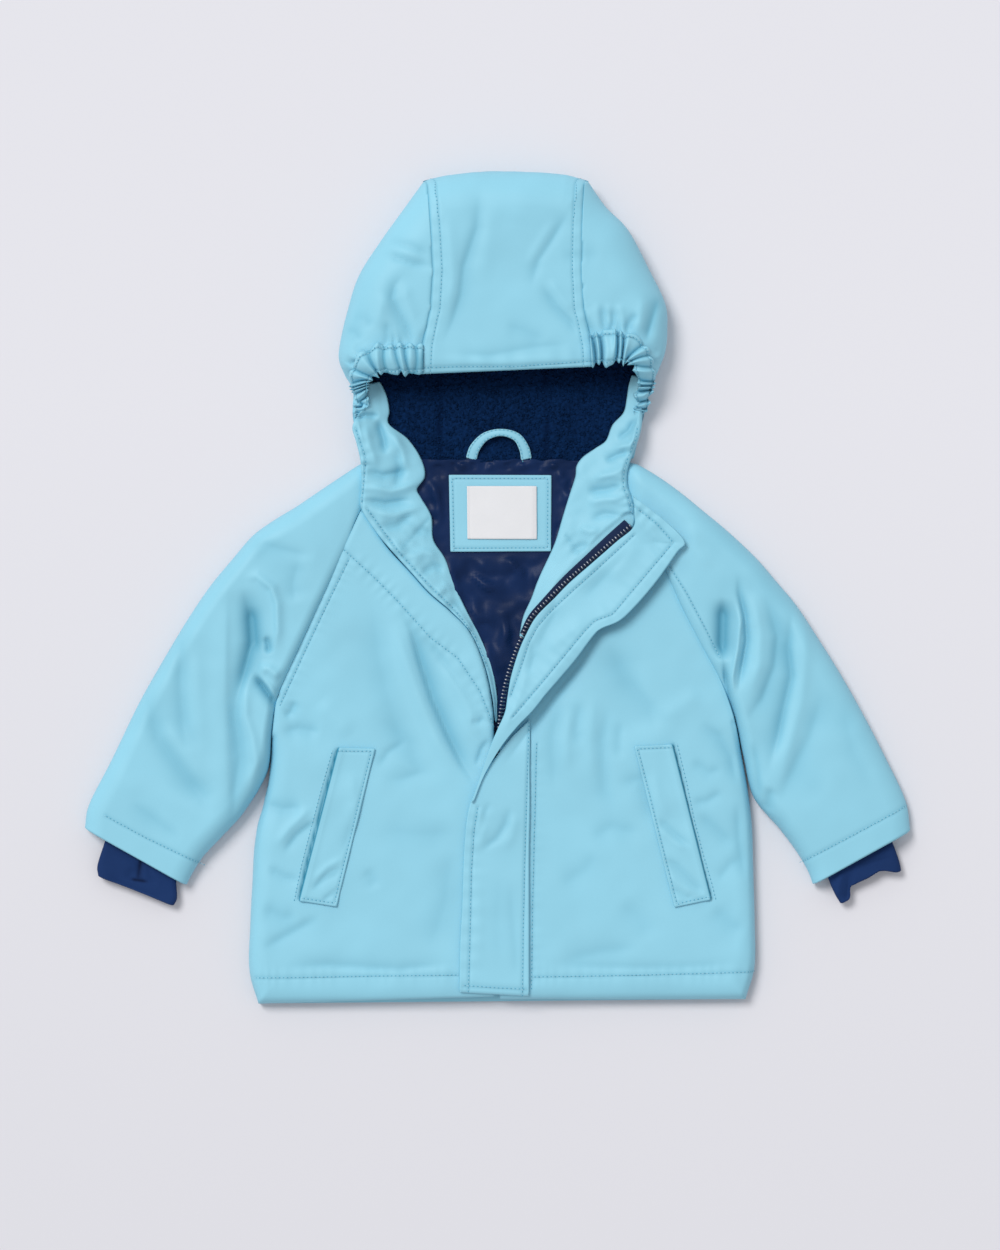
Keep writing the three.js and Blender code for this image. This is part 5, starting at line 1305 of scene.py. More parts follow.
def pile_tree():
    """Fleece pile: small curls strewn over a surface, each turned and sized its own way."""
    tree, given, out = new_tree(
        "Fleece_pile",
        [
            ("Density", "NodeSocketFloat"),
            ("Curl", "NodeSocketFloat"),
            ("Seed", "NodeSocketInt"),
            ("Material", "NodeSocketMaterial"),
        ],
    )
    strewn = put(
        tree,
        "GeometryNodeDistributePointsOnFaces",
        {"Mesh": given.outputs["Geometry"], "Density": given.outputs["Density"], "Seed": given.outputs["Seed"]},
    )
    curl = put(tree, "GeometryNodeMeshIcoSphere", {"Radius": 0.5, "Subdivisions": 1})
    turn = put(tree, "FunctionNodeRandomValue", {1: (6.3, 6.3, 6.3), "Seed": 5}, data_type="FLOAT_VECTOR")
    spread = put(tree, "FunctionNodeRandomValue", {0: (0.7, 0.5, 0.5), 1: (1.5, 1.1, 1.0), "Seed": 9}, data_type="FLOAT_VECTOR")
    size = put(
        tree,
        "ShaderNodeVectorMath",
        {0: spread.outputs[0], "Scale": given.outputs["Curl"]},
        operation="SCALE",
    )
    placed = put(
        tree,
        "GeometryNodeInstanceOnPoints",
        {"Points": strewn.outputs[0], "Instance": curl.outputs[0], "Rotation": turn.outputs[0], "Scale": size.outputs[0]},
    )
    end_tree(tree, given, out, placed.outputs[0])
    return tree


def grow(name, tree, source, values):
    """The mesh that a tree makes from a source mesh, as a plain object."""
    carrier = bpy.data.objects.new(name, source)
    bpy.context.scene.collection.objects.link(carrier)
    modifier = carrier.modifiers.new("Build", "NODES")
    modifier.node_group = tree
    for label, value in values.items():
        modifier[socket_id(tree, label)] = value
    depsgraph = bpy.context.evaluated_depsgraph_get()
    made = bpy.data.meshes.new_from_object(carrier.evaluated_get(depsgraph))
    carrier.modifiers.remove(modifier)
    made.name = name
    carrier.data = made
    return carrier


def path_mesh(name, paths):
    """Open lines of points in millimetres, as a mesh of edges in metres."""
    points, edges = [], []
    for path in paths:
        start = len(points)
        points += (np.asarray(path) * MM).tolist()
        edges += [(start + i, start + i + 1) for i in range(len(path) - 1)]
    mesh = bpy.data.meshes.new(name)
    mesh.from_pydata(points, edges, [])
    return mesh


def lay_on(surface, line, proud, step=1.5):
    """A line in plan, laid on the top points of a surface."""
    line = np.asarray(line, float)
    gone = np.concatenate([[0], np.cumsum(np.hypot(*np.diff(line, axis=0).T))])
    at = np.linspace(0, gone[-1], max(2, int(gone[-1] / step)))
    x, y = np.interp(at, gone, line[:, 0]), np.interp(at, gone, line[:, 1])
    cloud = surface.reshape(-1, 3)
    z = []
    for px, py in zip(x, y):
        gap = np.hypot(cloud[:, 0] - px, cloud[:, 1] - py)
        closest = np.argpartition(gap, 4)[:4]
        weight = 1 / (gap[closest] + 0.05)
        z.append((cloud[closest, 2] * weight).sum() / weight.sum())
    return np.stack([x, y, np.array(z) + proud], 1)


# Pieces of the body
def body_rows(inset, hem_inset):
    last = len(LEFT_ROWS)
    t = np.arange(last + 1) / last
    hem = np.where(t == 1, hem_inset, 0)
    return np.stack(
        [
            spline(LEFT_ROWS[:, 0], t) + inset,
            spline(LEFT_ROWS[:, 1], t) + hem,
            spline(RIGHT_ROWS[:, 0], t) - inset,
            spline(RIGHT_ROWS[:, 1], t) + hem,
        ],
        1,
    )


def build_back():
    rows = np.concatenate([[[-103.6, 97, 103.6, 97], [-104.5, 78, 105.5, 78]], body_rows(0, 0)])
    x, y = plan_grid(rows, (0, 1, 2, 3), 70, 60, 0.1)
    _, under, top, _ = body_heights(x, y)
    hollow = folds(BACK_DETAIL, x, y) + 0.5 * drift(x, y, 38, 17)
    under = under + np.maximum(0, hollow) * smooth(distance(BODY_OUTLINE, x, y) / 20)
    return shell("back_panel", points_of(x, y, top), points_of(x, y, under))


def lining_relief(x, y):
    """Soft wrinkles and quilting of the lining, flat where the patch is sewn."""
    wrinkle = 1.25 * folds(LINING_DETAIL, x, y) + 0.9 * drift(x, y, 9, 21)
    quilt = np.zeros(np.shape(x))
    for slope in (1, -1):
        place = (x + slope * y) / QUILT_PITCH
        quilt += np.exp(-((np.abs(place - np.round(place)) * QUILT_PITCH / 1.8) ** 2))
    patch = np.asarray(PATCH)
    outside = np.maximum(np.abs(x - patch[:, 0].mean()) - 41, np.abs(y - patch[:, 1].mean()) - 31)
    return smooth((outside - 1) / 6) * (1.7 * wrinkle + 1.1 * drift(x, y, 6, 23) + 0.7 - 0.5 * quilt)


def build_back_lining():
    rows = np.concatenate([[[-98, 99.4, 98, 99.4], [-99, 78, 100, 78]], body_rows(7, 18)])
    t = np.linspace(0, 1, 161)
    rows = np.stack([spline(rows[:, c], t**1.5) for c in range(4)], 1)
    x, y = plan_grid(rows, (0, 1, 2, 3), 160, 96, 0.0)
    y = y + 0.9 * drift(x, 0 * y, 7, 24) * smooth((y - 88) / 10)
    top = lining_top(x, y)
    shown = smooth((y + 110) / 20)
    upper = top + shown * np.maximum(lining_relief(x, y), -0.9)
    SURFACES["lining"] = points_of(x, y, upper)
    return shell("back_lining_panel", SURFACES["lining"], points_of(x, y, top - LINING))


def build_front(name, rows, edge, lines):
    x, y = plan_grid(rows, (0, 1, 2, 3), 212, 106, 0.06)
    dip, close = grooves(lines, x, y)
    drop = (2.6 if name == "front_left" else 1.6) * (1 - rounded(distance(edge, x, y) / 5))
    ripple = sum(0.22 * puckers(LINES[line], x, y, 9, 7, 30 + i) for i, line in enumerate(lines))
    # The pocket slit dips the surface, and through the mark it is painted dark as the shade in its opening.
    slit = bell(distance(LINES["pocket_slit_" + name[6:]], x, y), 1.1)
    top = front_top(x, y) - drop + dip + ripple - 1.3 * slit
    # Mark: darker along sewn lines, with painted shade in the pocket slit and in the troughs of the folds.
    close = np.maximum(np.maximum(0.2 * close, slit), painted_trough_shade(folds(BODY_DETAIL, x, y)))
    if name == "front_right":
        # Painted shadow, cast by the turned flap's free edge onto the right front.
        under_turn = distance(curve(FLAP_FACING, 2, 60), x, y)
        close = np.maximum(close, 0.34 * bell(np.maximum(under_turn - 2, 0), 7) * (y > -125))
    SURFACES[name] = points_of(x, y, top)
    return shell(name + "_panel", SURFACES[name], points_of(x, y, body_heights(x, y)[3]), close)


# Sleeves and cuffs
def sleeve_rings(rows, inner, count, steps, lines):
    t = np.linspace(0, 1, steps + 1)[:, None]
    over_x, over_y, under_x, under_y, high, sewn = (spline(rows[:, c], t) for c in range(6))
    sewn = np.clip(sewn, 0, 1)
    long = np.hypot(over_x - under_x, over_y - under_y)
    mouth = smooth((t - 0.79) / 0.06)
    slot = mix(SLEEVE_SLOT, 5.8, mouth) / 2
    middle = mix(high / 2, 7.4, mouth)
    step = np.concatenate([np.arange(count) / count, 1 - np.arange(count) / count])[None, :]
    upper = (np.arange(2 * count) < count)[None, :]
    away_x = (under_x - over_x) / long * RAGLAN_LAP * sewn
    away_y = (under_y - over_y) / long * RAGLAN_LAP * sewn
    u = crowd(step, 0.06) if inner else mix(step, (1 - np.cos(np.pi * step)) / 2, 0.7)
    if inner:
        share = mix(7, 4.6, mouth) / long
        s = np.clip(mix(share, 1 - share, u), 0, 1)
        height = np.maximum(rounded(np.minimum(u, 1 - u) * 12), 0.02)
        z = middle + np.where(upper, 1, -1) * slot * height
        return points_of(mix(over_x, under_x, s) + away_x, mix(over_y, under_y, s) + away_y, z), None
    from_over, from_under = u * long, (1 - u) * long
    near_under = mix(SLEEVE_EDGE, np.minimum(high - 2, front_top(under_x, under_y) - 0.9), sewn)
    shape = np.minimum(rounded(from_over / 17), rounded(from_under / mix(15, 12, sewn)))
    nearer_over = from_over < from_under
    edge = np.where(nearer_over, SLEEVE_EDGE, near_under)
    x, y = mix(over_x, under_x, u) + away_x, mix(over_y, under_y, u) + away_y
    fade = smooth(shape)
    detail = folds(SLEEVE_DETAIL, x, y) + 0.7 * drift(x, y, 30, 11) + 0.3 * drift(x, y, 13, 12)
    crease = fade * detail * (1 - 0.5 * mouth)
    dip, close = grooves(lines, x, y)
    dip = dip * np.where(upper, 1, 0)
    curl = np.where(nearer_over, SLEEVE_EDGE, mix(SLEEVE_EDGE, 0, sewn))
    hollow = np.maximum(0, 1.3 * drift(x, y, 26, 18)) * smooth(np.minimum(from_over, from_under) / 30)
    low = curl * (1 - rounded(np.minimum(from_over, from_under) / 9)) + hollow
    top = edge + (high - edge) * shape + crease + dip
    rim = rounded(np.minimum(from_over, from_under) / 7)
    z = np.where(upper, np.maximum(top, mix(edge, middle + slot + 2.4, rim)), low)
    # Mark: darker along sewn lines, with painted shade in the troughs of the folds.
    close = np.maximum(0.2 * close, fade * painted_trough_shade(detail))
    return points_of(x, y, z), close * np.where(upper, 1, 0)


def build_sleeve(name, rows, lines):
    outer, close = sleeve_rings(rows, False, 84, 190, lines)
    inner, _ = sleeve_rings(rows, True, 84, 14, lines)
    SURFACES[name] = outer[:, :84]
    return tube(name + "_tube", outer, inner, close)


def cuff_rings(rows, notch, inner, steps, count=44):
    t = np.linspace(0, 1, steps + 1)[:, None]
    over_x, over_y, under_x, under_y, high = (spline(rows[:, c], t) for c in range(5))
    long = np.hypot(over_x - under_x, over_y - under_y)
    step = np.concatenate([np.arange(count) / count, 1 - np.arange(count) / count])[None, :]
    upper = (np.arange(2 * count) < count)[None, :]
    u = crowd(step, 0.1)
    inset = 1.9 / long if inner else 0
    s = mix(inset, 1 - inset, u)
    shape = np.maximum(rounded(np.minimum(u, 1 - u) * 14), 0.1)
    room = high / 2 - (1.8 if inner else 0)
    drawn = np.interp(1 - s, notch[:, 0], notch[:, 1]) * smooth(2 * t - 1)
    x, y = mix(over_x, under_x, s) - 0.5 * drawn, mix(over_y, under_y, s) + 0.866 * drawn
    z = 7.4 + np.where(upper, 1, -1) * room * shape
    return x, y, z, upper


def build_cuff(name, rows, notch, lines, crease):
    x, y, z, upper = cuff_rings(rows, notch, False, 60)
    dip, close = grooves(lines, x, y, 1.1, 1.1)
    fold = folds(crease, x, y) + 0.25 * drift(x, y, 8, 14)
    z = z + np.where(upper, 1, 0) * (dip + fold)
    ix, iy, iz, _ = cuff_rings(rows, notch, True, 12)
    if "thumb_slit" in lines:
        # Painted shade in the thumb slit.
        close = np.maximum(close, 1.4 * bell(distance(LINES["thumb_slit"], x, y), 1.1))
    SURFACES[name] = points_of(x, y, z)[:, :44]
    return tube(name + "_tube", points_of(x, y, z), points_of(ix, iy, iz), close * upper)


# Hood
def hood_point(x, y, upper, inner):
    if not inner:
        return x, y, hood_surface(x, y, upper, 0)
    far, _, _, nx, ny = near(HOOD_OUTLINE, x, y)
    shift = HOOD_WALL * np.clip(1 - far / 25, 0, 1)
    px, py = x - nx * shift, y - ny * shift
    return px, py, hood_surface(px, py, upper, HOOD_WALL)


def gather_ripples(casing, gathers, x, y, phase):
    """Folds of the hood that run out of the gathered casing and fade away from it."""
    far, _, along, _, _ = near(curve(casing, 0, 60), x, y)
    total = np.hypot(*np.diff(curve(casing, 0, 60), axis=0).T).sum()
    s = along / total * gathers * 0.6 + 1.1 * drift(along, far, 14, phase)
    reach = 11 + 7 * drift(along, 0 * along, 12, phase + 1)
    high = 1.1 + 0.7 * drift(along, 0 * along, 9, phase + 2)
    return high * np.cos(2 * np.pi * s) * bell(np.maximum(far - 10, 0), reach) * (y < 232)


def hood_seam_relief(far):
    """Dip at a hood seam and at its row of topstitching."""
    return -0.9 * bell(far, 1.3) - 0.5 * bell(far - 7.4, 1.0)


def build_hood_side(name, rows, side, casing, gathers):
    lengthways, top_steps, low_steps = 132, 56, 16
    column = 1 if side == "left" else 2
    out = -SEAM_TOUCH if side == "left" else SEAM_TOUCH
    within = np.minimum if side == "left" else np.maximum
    t = np.linspace(0, 1, lengthways + 1)[:, None]
    out_x, out_y, row_top_x, top_y, low_y = (spline(rows[:, c], t) for c in range(5))
    sewn = np.interp(top_y, SEAMS_UPPER[:, 0], SEAMS_UPPER[:, column]) + out
    top_x = within(sewn, row_top_x)
    low_x = np.interp(low_y, SEAMS_LOWER[:, 0], SEAMS_LOWER[:, column]) + out
    u = 1 - (1 - np.arange(top_steps) / top_steps)[None, :] ** 1.3
    v = (np.arange(low_steps + 1) / low_steps)[None, :] ** 1.5
    x = np.concatenate([mix(top_x, out_x, u), mix(out_x, low_x, v)], 1)
    y = np.concatenate([mix(top_y, out_y, u), mix(out_y, low_y, v)], 1)
    upper = np.concatenate([np.ones_like(u, bool), np.zeros_like(v, bool)], 1)
    limit = np.where(upper, top_x, low_x)
    sheets = []
    for inner in (False, True):
        px, py, pz = hood_point(x, y, upper, inner)
        if not inner:
            seam_far = np.abs(x - limit)
            sewn_here = np.where(upper, seam_far + np.where(top_x == sewn, 0, 9), seam_far)
            relief = -0.9 * bell(sewn_here, 1.3)
            relief = relief + np.where(upper, gather_ripples(casing, gathers, x, y, 40), 0)
            pz = pz + np.where(upper, relief, -0.4 * relief)
            # Mark: darker along the seam, with painted shade in the troughs of the folds.
            close = np.maximum(0.35 * bell(sewn_here, 1.0), painted_trough_shade(folds(HOOD_DETAIL, x, y)) * upper)
        sheets.append(points_of(within(px, limit), py, pz))
    SURFACES[name] = sheets[0][:, :top_steps]
    return shell(name + "_panel", sheets[0], sheets[1], close)


def build_hood_centre():
    across, top_steps, turn_steps, low_steps = 96, HOOD_TOP_STEPS, 12, 36
    u = crowd(np.linspace(0, 1, across + 1), 0.08)[:, None]
    brim = mix(BRIM[0], BRIM[1], u)
    crown = spline(CROWN[:, 1], u)

    def between(rows, y):
        left = np.interp(y, rows[:, 0], rows[:, 1]) + SEAM_TOUCH
        right = np.interp(y, rows[:, 0], rows[:, 2]) - SEAM_TOUCH
        return mix(left, right, u), right - left

    y_top = mix(brim, HOOD_TURN, np.linspace(0, 1, top_steps)[None, :])
    x_top, wide_top = between(SEAMS_UPPER, y_top)
    s = np.linspace(0, 1, turn_steps + 2)[None, 1:-1]
    s = np.concatenate([s[:, : turn_steps // 2], [[0.6]], s[:, turn_steps // 2 :]], 1)
    s = np.sort(s)
    knots = [0, 0.2, 0.4, 0.6, 0.8, 1]
    rise = np.interp(s, knots, [0, 0.6, 0.92, 1, 0.75, 0])
    _, up_wide = between(SEAMS_UPPER, np.full_like(u, HOOD_TURN))
    turn_left, turn_right = (np.interp(s, TURN_EDGES[:, 0], TURN_EDGES[:, c]) for c in (1, 2))
    crown = crown - 1.5 * np.abs(2 * u - 1) ** 12
    x_turn, y_turn = mix(turn_left, turn_right, u), mix(HOOD_TURN, crown, rise)
    y_low = mix(HOOD_TURN, NECK_SEAM, np.linspace(0, 1, low_steps)[None, :]) + 0 * u
    x_low, wide_low = between(SEAMS_LOWER, y_low)
    x = np.concatenate([x_top, x_turn, x_low], 1)
    y = np.concatenate([y_top, y_turn, y_low], 1)
    wide = np.concatenate([wide_top, up_wide + 0 * x_turn, wide_low], 1)
    upper = np.concatenate([np.ones_like(x_top, bool), s + 0 * u <= 0.6, np.zeros_like(x_low, bool)], 1)
    from_seam = np.minimum(u, 1 - u) * wide
    brim_dip, brim_close = grooves(("brim_stitch",), x, y, 0.7, 1.2)
    sheets = []
    for inner in (False, True):
        px, py, pz = hood_point(x, y, upper, inner)
        if not inner:
            relief = hood_seam_relief(from_seam)
            ripple = 0.18 * np.cos(2 * np.pi * y / 13) * bell(from_seam - 4, 6)
            ripple = ripple + 0.35 * puckers(LINES["brim_stitch"], x, y, 15, 12, 51)
            pz = pz + np.where(upper, relief + ripple + brim_dip, -0.5 * relief)
            # Mark: darker along the seams and the brim's topstitching, with painted shade in the troughs of the folds.
            close = np.maximum(0.35 * bell(from_seam, 1.0), 0.2 * bell(from_seam - 7.4, 0.8))
            close = np.maximum(close, np.maximum(0.2 * brim_close, painted_trough_shade(folds(HOOD_DETAIL, x, y))) * upper)
        sheets.append(points_of(px, py, pz))
    SURFACES["hood_centre"] = sheets[0][:, :top_steps]
    SURFACES["hood_centre_all"] = sheets[0]
    return shell("hood_centre_panel", sheets[0], sheets[1], close)


def build_hood_lining():
    rows = table(
        (-99, 98.5, 99, 98.5), (-103, 130, 104, 130), (-99.5, 160, 105, 160), (-107, 190, 116, 190),
        (-103, 220, 116, 220), (-90, 250, 100, 250), (-70, 275, 82, 275), (-54, 288, 68, 288),
    )
    x, y = plan_grid(rows, (0, 1, 2, 3), 50, 54, 0.0)
    under = hood_surface(x, y, False, HOOD_WALL) + CLOTH_GAP
    seams = np.zeros(np.shape(x))
    for seam_x in (-45.6, 37.8):
        seams = np.maximum(seams, bell(x - seam_x, 1.8))
    curl = 0.35 * drift(x, y, 4.5, 61) + 0.5 * drift(x, y, 22, 62)
    upper = under + FLEECE + curl - 1.2 * seams
    SURFACES["fleece"] = points_of(x, y, upper)
    return shell("hood_fleece", SURFACES["fleece"], points_of(x, y, under), 0.8 * seams)


# Gathered casings
def pleat(s):
    """Round puffs with narrow valleys between them, from 0 to 1."""
    t = s - np.floor(s)
    return mix(np.sqrt(np.clip(1 - (2 * t - 1) ** 2, 0, 1)), 0.5 - 0.5 * np.cos(2 * np.pi * t), 0.65)


def build_casing(name, rows, gathers, seed):
    """Gathered tube of cloth: plump puffs with deep, slanting valleys between them, the valleys painted darker as
    shade.
    """
    steps, cols = gathers * 20, 30

    def place(t, u):
        jitter = 1.1 * drift(t * 60, 0 * t, 5.5, seed)
        slant = 0.5 * u * drift(t * 60, 0 * t + 9, 9, seed + 1)
        return t * gathers + jitter + slant + 0.12 * u**2

    def swell(t, u):
        ragged = 0.3 * (pleat(place(t, u)) - 0.6) + 0.16 * drift(t * 60, 3 * np.sign(u), 3.2, seed + 6)
        twist = 0.3 * drift(t * 60, 0 * t, 4.2, seed + 7) * smooth((t - 0.5) / 0.2)
        return 1.0 + ragged * np.abs(u) + twist * np.sign(u)

    x, y, t, u = strip_grid(rows, steps, cols, swell)
    u = u + 0 * x
    t = t[:, None] + 0 * u
    puff = pleat(place(t, u))
    small = pleat(2.3 * place(t, u) + 0.8 * drift(t * 60, u * 3, 4, seed + 2))
    plump = 1 + 0.6 * drift(t * 60, 0 * t + 4, 5, seed + 3)
    steep = 1.5 * bell(distance(HOOD_OUTLINE, x, y), 9)
    base = hood_surface(x, y, True, 0) + CLOTH_GAP + steep
    across = np.sqrt(np.clip(1 - 0.97 * u**2, 0, 1))
    stitch = bell(np.abs(u) - 0.74, 0.07)
    frill = smooth((np.abs(u) - 0.74) / 0.26)
    high = 0.9 + 3.2 * across + (puff - 0.45) * 6.6 * plump * (1 - 0.15 * np.abs(u))
    high = high + 1.3 * frill * (small - 0.4) - 1.0 * stitch
    top = base + np.maximum(high, 0.6)
    low = base - 0.4 * (1 - across)
    SURFACES[name] = points_of(x, y, top)
    # Mark: darker along the stitching, with painted shade in the valleys between the puffs.
    close = np.maximum(0.25 * stitch, 0.6 * (1 - smooth(puff * 1.8)))
    return shell(name + "_gathers", SURFACES[name], points_of(x, y, np.minimum(low, top - 0.5)), close)


# Neck opening
def build_facing(name, rows, swell, zipped, lines):
    across, steps = 42, 165
    x, y = plan_grid(rows, (0, 1, 2, 3), steps, across, 0.08)
    t = np.linspace(0, 1, steps + 1)[:, None]
    out_x, out_y, in_x, in_y = (spline(rows[:, c], t) for c in range(4))
    wide = np.hypot(out_x - in_x, out_y - in_y)
    base = facing_base(x, y)
    u = crowd(np.linspace(0, 1, across + 1), 0.08)[None, :]
    full = rounded((u * wide + (1 if zipped else 4.5)) / 7) * rounded(((1 - u) * wide + 1) / 9)
    slope = mix(1, 0.35, smooth(u)) * np.minimum(swell, 3 + wide * 0.3)
    fold = NECK_SHARE * folds(NECK_DETAIL, x, y) + 0.7 * drift(x, y, 16, 71) + 0.35 * drift(x, y, 7, 72)
    dip, close = grooves(lines, x, y, 0.9, 1.3)
    ripple = sum(0.4 * puckers(LINES[line], x, y, 7.5, 8, 80 + i) for i, line in enumerate(lines))
    top = base + 1.6 + np.maximum(0, slope * full + (fold + ripple + dip) * full)
    if zipped:
        zip_line = curve(ZIP[:8], 0, 30)
        free = smooth((distance(zip_line, x, y) - 9) / 7)
        top = np.minimum(top, mix(zip_height(x, y) - 2.4, 30, free))
    SURFACES[name] = points_of(x, y, top)
    # Mark: darker along sewn lines, with painted shade in the troughs of the folds.
    close = np.maximum(0.2 * close, painted_trough_shade(NECK_SHARE * folds(NECK_DETAIL, x, y)))
    return shell(name + "_roll", SURFACES[name], points_of(x, y, base), close)


def build_zip_tape():
    beyond = np.array([4.4, 4.1, 3.6, 2.8, 2.1, 1.7, 1.6])
    rows = np.stack([ZIP[:7, 0] + 2, ZIP[:7, 1] - 2, ZIP[:7, 0] - beyond, ZIP[:7, 1] + beyond], 1)
    x, y = plan_grid(rows, (0, 1, 2, 3), 90, 8, 0.0)
    high = zip_height(x, y)
    return shell("zip_tape_strip", points_of(x, y, high - 0.5), points_of(x, y, high - 1.7))


def build_zip_teeth(sizes):
    line = curve(ZIP, 0, 260)
    height = zip_height(line[:, 0], line[:, 1]) + 1.0
    source = path_mesh("zip_path", [points_of(line[:, 0], line[:, 1], height)])
    return grow(
        "zip_teeth",
        TREES["teeth"],
        source,
        {
            "Pitch": sizes.tooth_pitch,
            "Head": (0.0017, 0.0036, 0.0021),
            "Foot": (0.0009, 0.0030, 0.0012),
            "Material": MATERIALS["metal"],
        },
    )


# Flap
def build_flap():
    x, y = plan_grid(FLAP, (0, 1, 2, 3), 130, 34, 0.08)
    base = front_top(x, y) + EDGE_GAP
    dip, close = grooves(("flap_edge_stitch", "flap_seam", "flap_hem"), x, y, 0.7, 1.2)
    ripple = 0.3 * puckers(LINES["flap_edge_stitch"], x, y, 14, 9, 91)
    fold = folds(FLAP_DETAIL, x, y)
    SURFACES["storm_flap"] = points_of(x, y, base + 2.4 + dip + ripple + fold)
    # Mark: darker along sewn lines, with painted shade in the troughs of the folds.
    close = np.maximum(0.2 * close, painted_trough_shade(fold))
    return shell("storm_flap_panel", SURFACES["storm_flap"], points_of(x, y, base), close)


def build_flap_facing():
    x, y = plan_grid(FLAP_FACING, (0, 1, 2, 3), 190, 38, 0.07)
    free = curve(FLAP_FACING, 2, 60)
    lift = 4.6 * bell(distance(free, x, y), 17)
    base = front_top(x, y) + 2.4 + EDGE_GAP + CLOTH_GAP + lift * smooth((y + 150) / 60)
    dip, close = grooves(("facing_edge_stitch", "facing_inner_stitch"), x, y, 0.75, 1.2)
    ripple = 0.35 * puckers(LINES["facing_edge_stitch"], x, y, 11, 9, 95)
    fold = folds(TURN_DETAIL, x, y) + 0.35 * drift(x, y, 17, 96)
    top = base + 2.4 + dip + ripple + fold * smooth(distance(free, x, y) / 8)
    SURFACES["flap_facing"] = points_of(x, y, top)
    # Mark: darker along sewn lines, with painted shade in the troughs of the folds.
    close = np.maximum(0.2 * close, painted_trough_shade(fold))
    return shell("flap_facing_panel", SURFACES["flap_facing"], points_of(x, y, base), close)


# Pockets, label and loop
def build_pocket(name, corners, stitched, slit):
    x, y = corner_grid(corners, 96, 26)
    base = front_top(x, y) + CLOTH_GAP
    close = bell(distance(stitched, x, y), 0.9)
    from_slit = distance(slit, x, y)
    lift = 1.1 * bell(from_slit - 1, 3.5) - 1.2 * bell(from_slit, 0.9)
    belly = 0.6 * drift(x, y, 18, 101) + folds(POCKET_DETAIL, x, y)
    thick = np.maximum(0.5, 1.8 - 0.6 * close + lift + belly)
    SURFACES[name] = points_of(x, y, base + thick)
    # Mark: darker along the stitching, with painted shade in the slit and in the troughs of the folds.
    dark = np.maximum(0.2 * close * smooth(from_slit / 6), bell(from_slit, 0.7))
    dark = np.maximum(dark, painted_trough_shade(folds(POCKET_DETAIL, x, y)))
    return shell(name + "_welt", SURFACES[name], points_of(x, y, base), dark)


def inset_loop(corners, inset, close_it=True):
    """Corners moved in towards the middle, as a closed line."""
    corners = np.asarray(corners, float)
    out = []
    for i in range(4):
        before, here, after = corners[i - 1], corners[i], corners[(i + 1) % 4]
        a = (before - here) / np.linalg.norm(before - here)
        b = (after - here) / np.linalg.norm(after - here)
        out.append(here + (a + b) * inset)
    out = np.array(out)
    return np.concatenate([out, out[:1]]) if close_it else out


def build_patch():
    x, y = corner_grid(PATCH, 44, 52)
    base = lining_top(x, y) + 0.5
    stitched = inset_loop(PATCH, 2.4)
    close = bell(distance(stitched, x, y), 0.9)
    SURFACES["patch"] = points_of(x, y, base + 1.4 - 0.5 * close + 0.2 * drift(x, y, 16, 111))
    return shell("label_patch_panel", SURFACES["patch"], points_of(x, y, base), 0.22 * close)


def build_label():
    x, y = corner_grid(LABEL, 36, 46)
    base = lining_top(x, y) + 2.4
    left = np.asarray(LABEL)[:, 0].min()
    right = np.asarray(LABEL)[:, 0].max()
    ends = np.maximum(bell(x - left - 1.6, 0.8), bell(right - x - 1.6, 0.8))
    SURFACES["label"] = points_of(x, y, base + 1.0 + 0.15 * drift(x, y, 12, 113) - 0.35 * ends)
    return shell("neck_label_panel", SURFACES["label"], points_of(x, y, base), 0.5 * ends)


def build_loop():
    x, y, t, u = strip_grid(LOOP, 70, 10)
    base = fleece_top(x, y) + SEAM_GAP + spline(LOOP[:, 3], t)[:, None]
    across = np.sqrt(np.clip(1 - 0.9 * u**2, 0, 1))
    close = 0 * x + bell(np.abs(u) - 0.66, 0.14)
    SURFACES["loop"] = points_of(x, y, base + 1.8 * (0.55 + 0.45 * across) - 0.25 * close)
    return shell("hanging_loop_strap", SURFACES["loop"], points_of(x, y, base), 0.22 * close)


